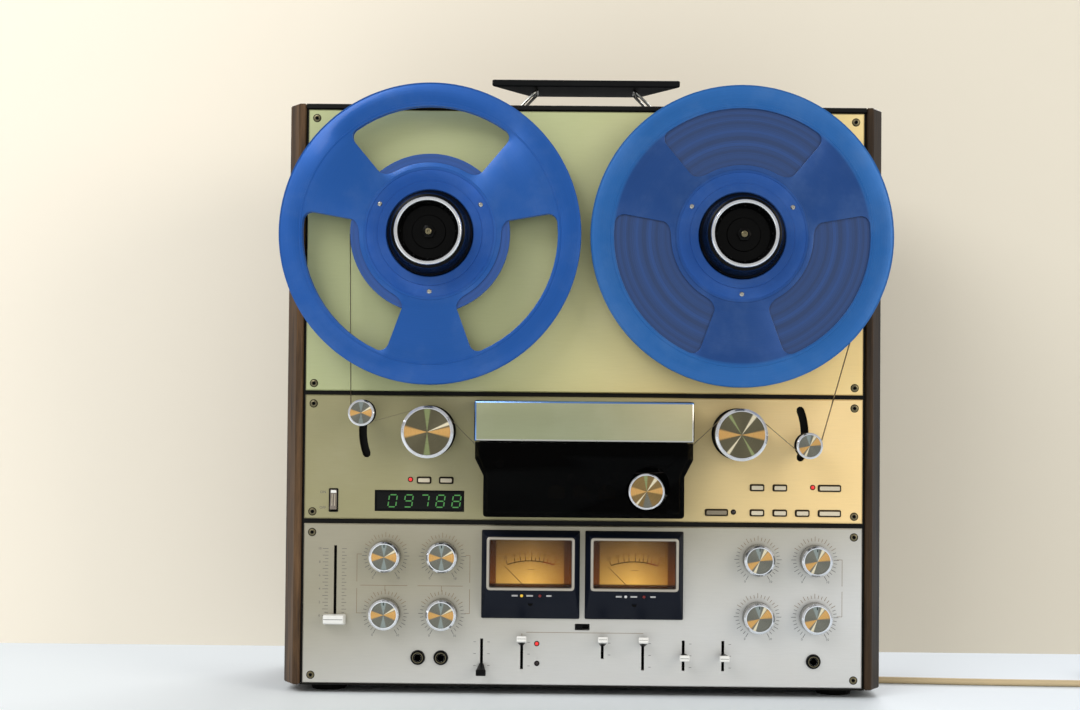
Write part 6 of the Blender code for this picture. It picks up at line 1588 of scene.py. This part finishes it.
def makeSlider(settings):
    whole = bmesh.new()
    addPart(whole, block(settings["width"], settings["height"], -0.0034, settings["reach"] - 0.0002, 0.0003), 0)
    for step in (-1, 0, 1):
        addPart(whole, block(0.0005, settings["height"] - 0.0006, settings["reach"] - 0.0006, settings["reach"],
                             0.0001, 1), 0,
                at(step * 0.0014, 0))
    whole.transform(at(settings["x"], settings["z"]))
    finishPiece("trackSlider", whole, ["plastic"], "slide_switch_slider", ["track_slide_switch"])
    frameRing = bmesh.new()
    opening = settings["width"] + settings["travel"] + 0.0006
    addPart(frameRing, plate([rounded(opening + 0.0018, settings["height"] + 0.0020, 0.0006, 4),
                              rounded(opening, settings["height"] + 0.0006, 0.0002, 4)], -0.0002, 0.0005, 0.0002),
            0, at(settings["x"] + settings["travel"] / 2, settings["z"]))
    finishPiece("sliderFrame", frameRing, ["plastic"], "cabinet")


counter = {"x": -0.14651, "z": 0.17244, "width": 0.0803, "height": 0.0190, "digits": "09788", "digitX": -0.1420,
           "digitHeight": 0.0108, "digitWidth": 0.0070, "pitch": 0.0143, "bar": 0.0013, "slant": 0.14}
segments = {"0": "abcdef", "7": "abc", "8": "abcdefg", "9": "abcdfg"}


def makeCounter(settings):
    whole = bmesh.new()
    inset = [(settings["width"] - 0.0002, settings["height"] - 0.0002, -0.0012),
             (settings["width"] - 0.0002, settings["height"] - 0.0002, -0.0002),
             (settings["width"] - 0.0010, settings["height"] - 0.0010, 0.0002),
             (settings["width"] - 0.0034, settings["height"] - 0.0034, 0.0002),
             (settings["width"] - 0.0040, settings["height"] - 0.0040, -0.0005)]
    addPart(whole, loft([[(px, py, out) for px, py in rounded(w, h, 0.0008, 4)] for w, h, out in inset],
                        (True, False)), 0,
            at(settings["x"], settings["z"]))
    addPart(whole, block(settings["width"] - 0.0036, settings["height"] - 0.0036, -0.0009, -0.0004), 1,
            at(settings["x"], settings["z"]))
    high, wide, bar = settings["digitHeight"], settings["digitWidth"], settings["bar"]
    bars = {"a": (0, high / 2, wide, bar), "g": (0, 0, wide, bar), "d": (0, -high / 2, wide, bar),
            "f": (-wide / 2, high / 4, bar, high / 2), "b": (wide / 2, high / 4, bar, high / 2),
            "e": (-wide / 2, -high / 4, bar, high / 2), "c": (wide / 2, -high / 4, bar, high / 2)}
    for index, digit in enumerate(settings["digits"]):
        for name in segments[digit]:
            x, y, width, height = bars[name]
            trim = 0.0004 + bar * 0.25
            piece = block(width - (trim * 2 if width > height else 0) - 0.0002,
                          height - (trim * 2 if height > width else 0) - 0.0002, -0.0003, 0.00006, 0.00008, 1)
            piece.transform(Matrix.Translation((x, y, 0)))
            lean = Matrix.Identity(4)
            lean[0][1] = settings["slant"]
            piece.transform(lean)
            addPart(whole, piece, 2, at(settings["digitX"] + (index - 2) * settings["pitch"],
                                        settings["z"] - 0.0002, -0.0004))
    finishPiece("counter", whole, ["plastic", "counterGlass", "greenDigit"], "cabinet")


for makeControl in (makeKeys, makeKnobs, makeLevers):
    makeControl()
makeFader(fader)
makeRocker(rocker)
makeSlider(slider)
makeCounter(counter)
print("controls made")


# Screws, lamps and sockets on the front

screws = {"x": 0.2424, "rows": (0.5158, 0.2770, 0.2588, 0.1621, 0.1436, 0.0162), "radius": 0.0031,
          "socket": 0.0016}
lamps = {"radius": 0.0017, "places": ((-0.1547, 0.1915, 2), (0.2053, 0.1878, 2), (0.1346, 0.1652, 3),
                                      (-0.0402, 0.0461, 2), (-0.0400, 0.0285, 3))}
jacks = {"z": 0.03265, "xs": (-0.14651, -0.12592, 0.20668), "nut": 0.0062, "bore": 0.0033, "reach": 0.0029}


def makeTrim():
    whole = bmesh.new()
    radius, socket = screws["radius"], screws["socket"]
    head = [(0, -0.0006), (radius, -0.0006), (radius, 0.0002), (radius - 0.0004, 0.0007),
            (socket + 0.0003, 0.0009)]
    for side in (-1, 1):
        for z in screws["rows"]:
            addPart(whole, spin(head + [(socket, 0.0006), (socket * 0.9, -0.0003), (0, -0.0004)], 28), 0,
                    at(side * screws["x"], z))
            # a black hexagon in each head's socket: painted shade in the socket
            addPart(whole, spin([(0, -0.0002), (socket * 1.02, -0.0002), (socket * 1.02, 0.0002), (0, 0.0001)], 6),
                    1, at(side * screws["x"], z))
            addPart(whole, spin([(radius, -0.0002), (radius + 0.0006, -0.0002), (radius + 0.0006, 0.00008),
                                 (radius, 0.00008)], 28,
                                closed=True), 1, at(side * screws["x"], z))
    finishPiece("panelScrews", whole, ["screw", "slot"], "cabinet")

    whole = bmesh.new()
    for x, z, paint in lamps["places"]:
        radius = lamps["radius"]
        addPart(whole, spin([(radius * 0.96, -0.0004), (radius + 0.0007, -0.0004), (radius + 0.0007, 0.0003),
                             (radius + 0.0003, 0.0006), (radius * 0.96, 0.0005)], 28, closed=True), 0, at(x, z))
        addPart(whole, spin([(0, -0.0004), (radius, -0.0004), (radius, 0.0004), (radius * 0.8, 0.0009),
                             (radius * 0.4, 0.0012), (0, 0.0013)], 24), paint, at(x, z))
    finishPiece("panelLamps", whole, ["plastic", "slot", "redLamp", "darkLamp"], "cabinet")

    whole = bmesh.new()
    nut, bore, reach = jacks["nut"], jacks["bore"], jacks["reach"]
    for x in jacks["xs"]:
        ring = [(0, -0.0120), (bore - 0.0003, -0.0120), (bore - 0.0003, reach - 0.0006), (bore + 0.0002, reach),
                (nut - 0.0010, reach), (nut, reach - 0.0008), (nut, 0.0006), (nut + 0.0004, 0.0004),
                (nut + 0.0004, -0.0001)]
        addPart(whole, spin(ring, 44), 0, at(x, jacks["z"]))
        addPart(whole, spin([(0.0040, reach - 0.0003), (0.0042, reach + 0.0002), (0.0047, reach + 0.0002),
                             (0.0049, reach - 0.0003)], 44,
                            closed=True), 2, at(x, jacks["z"]))
        # a black disc down the bore: painted shade at the bottom of the hole
        addPart(whole, spin([(0, -0.0100), (bore * 0.9, -0.0100), (bore * 0.9, -0.0090), (0, -0.0088)], 24), 1,
                at(x, jacks["z"]))
    finishPiece("frontSockets", whole, ["plastic", "slot", "screw"], "cabinet")


# Rear: sockets in their bay, a fuse cap, a ground post and the cover's screws

rear = {"bayX": 0.140, "bayZ": 0.0675, "width": 0.170, "height": 0.060, "depth": 0.024,
        "sockets": (0.074, 0.093, 0.112, 0.131), "rows": (0.0095, -0.0095), "face": 0.0155, "radius": 0.0042,
        "inset": 0.012}


def makeRear(settings):
    whole = bmesh.new()
    face = -settings["face"]
    for x in settings["sockets"]:
        for row, rise in enumerate(settings["rows"]):
            place = at(-x, settings["bayZ"] + rise)
            shell = [(0.0022, face - 0.0030), (0.0043, face - 0.0030), (0.0044, face + 0.0018),
                     (0.0041, face + 0.0022), (0.0036, face + 0.0022), (0.0034, face + 0.0016),
                     (0.0022, face + 0.0012)]
            addPart(whole, spin(shell, 32, closed=True), 0, place)
            ring = [(0.0023, face + 0.0008), (0.0034, face + 0.0010), (0.0034, face + 0.0018),
                    (0.0023, face + 0.0019)]
            addPart(whole, spin(ring, 32, closed=True), 1 + row, place)
            addPart(whole, spin([(0, face - 0.0002), (0.0023, face - 0.0002), (0.0023, face + 0.0004),
                                 (0, face + 0.0004)], 24), 3, place)
            addPart(whole, spin([(0.0046, 0.0001 - settings["depth"]), (0.0066, 0.0001 - settings["depth"]),
                                 (0.0066, 0.0009 - settings["depth"]), (0.0046, 0.0010 - settings["depth"])], 32,
                                closed=True), 0, place)
    back = -settings["depth"]
    fuse = [(0, back - 0.0004), (0.0074, back - 0.0004), (0.0074, back + 0.0016), (0.0062, back + 0.0022),
            (0.0058, back + 0.0110), (0.0050, back + 0.0122), (0.0016, back + 0.0124), (0, back + 0.0120)]
    addPart(whole, spin(fuse, 36), 3, at(-0.196, 0.0575))
    addPart(whole, block(0.0070, 0.0012, back + 0.0118, back + 0.0126, 0.0002), 4, at(-0.196, 0.0575))
    post = [(0, back - 0.0004), (0.0060, back - 0.0004), (0.0060, back + 0.0010), (0.0036, back + 0.0014),
            (0.0036, back + 0.0040), (0.0052, back + 0.0044), (0.0052, back + 0.0110), (0.0046, back + 0.0118),
            (0, back + 0.0120)]
    addPart(whole, spin(post, 24), 0, at(-0.150, 0.0800))
    rim = [rounded(settings["width"] + 0.0060, settings["height"] + 0.0060, 0.0024, 5, -settings["bayX"],
                   settings["bayZ"]),
           rounded(settings["width"] - 0.0004, settings["height"] - 0.0004, 0.0006, 5, -settings["bayX"],
                   settings["bayZ"])]
    addPart(whole, plate(rim, -0.0010, 0.0, 0.0003), 5)
    low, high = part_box("rear_cover")
    inset = settings["inset"]
    for x in (low.x + inset, (low.x + high.x) / 2, high.x - inset):
        for z in (low.z + inset, (low.z + high.z) / 2 + 0.02, high.z - inset):
            if (x, z) == ((low.x + high.x) / 2, (low.z + high.z) / 2 + 0.02):
                continue
            head = [(0, -0.0008), (0.0037, -0.0008), (0.0037, -0.0002), (0.0030, 0.0), (0.0010, 0.0),
                    (0.0009, -0.0004), (0, -0.0004)]
            addPart(whole, spin([(radius, out) for radius, out in head], 28), 4, at(-x, z))
            # black crosses: painted shade standing in for each screw's cross recess
            for turn in (0, math.pi / 2):
                addPart(whole, block(0.0036, 0.0007, -0.0004, 0.00002, 0.0, 1), 5, at(-x, z, 0, turn))
    finishPiece("rearFittings", whole, ["nickel", "socketWhite", "socketRed", "softBlack", "steel", "slot"],
                "cabinet", place=toRear)


makeTrim()
makeRear(rear)
print("trim and rear made")


# Finishes of the pieces kept from the frame

kept = {"cabinet_body": "body", "rear_cover": "softBlack", "left_cheek": "leftWalnut",
        "right_cheek": "rightWalnutShaded", "upper_panel": "upperPanel", "middle_panel": "middlePanel",
        "lower_panel": "lowerPanel", "handle_grip": "gripBlack", "left_handle_wire": "steel",
        "right_handle_wire": "steel", "left_tension_arm": "steel", "right_tension_arm": "steel",
        "pinch_arm": "steel"}
for name, paint in kept.items():
    thing = nodes[name]
    if not thing.material_slots:
        thing.data.materials.append(finishes[paint])
    for slot in thing.material_slots:
        slot.material = finishes[paint]
print("kept pieces finished")
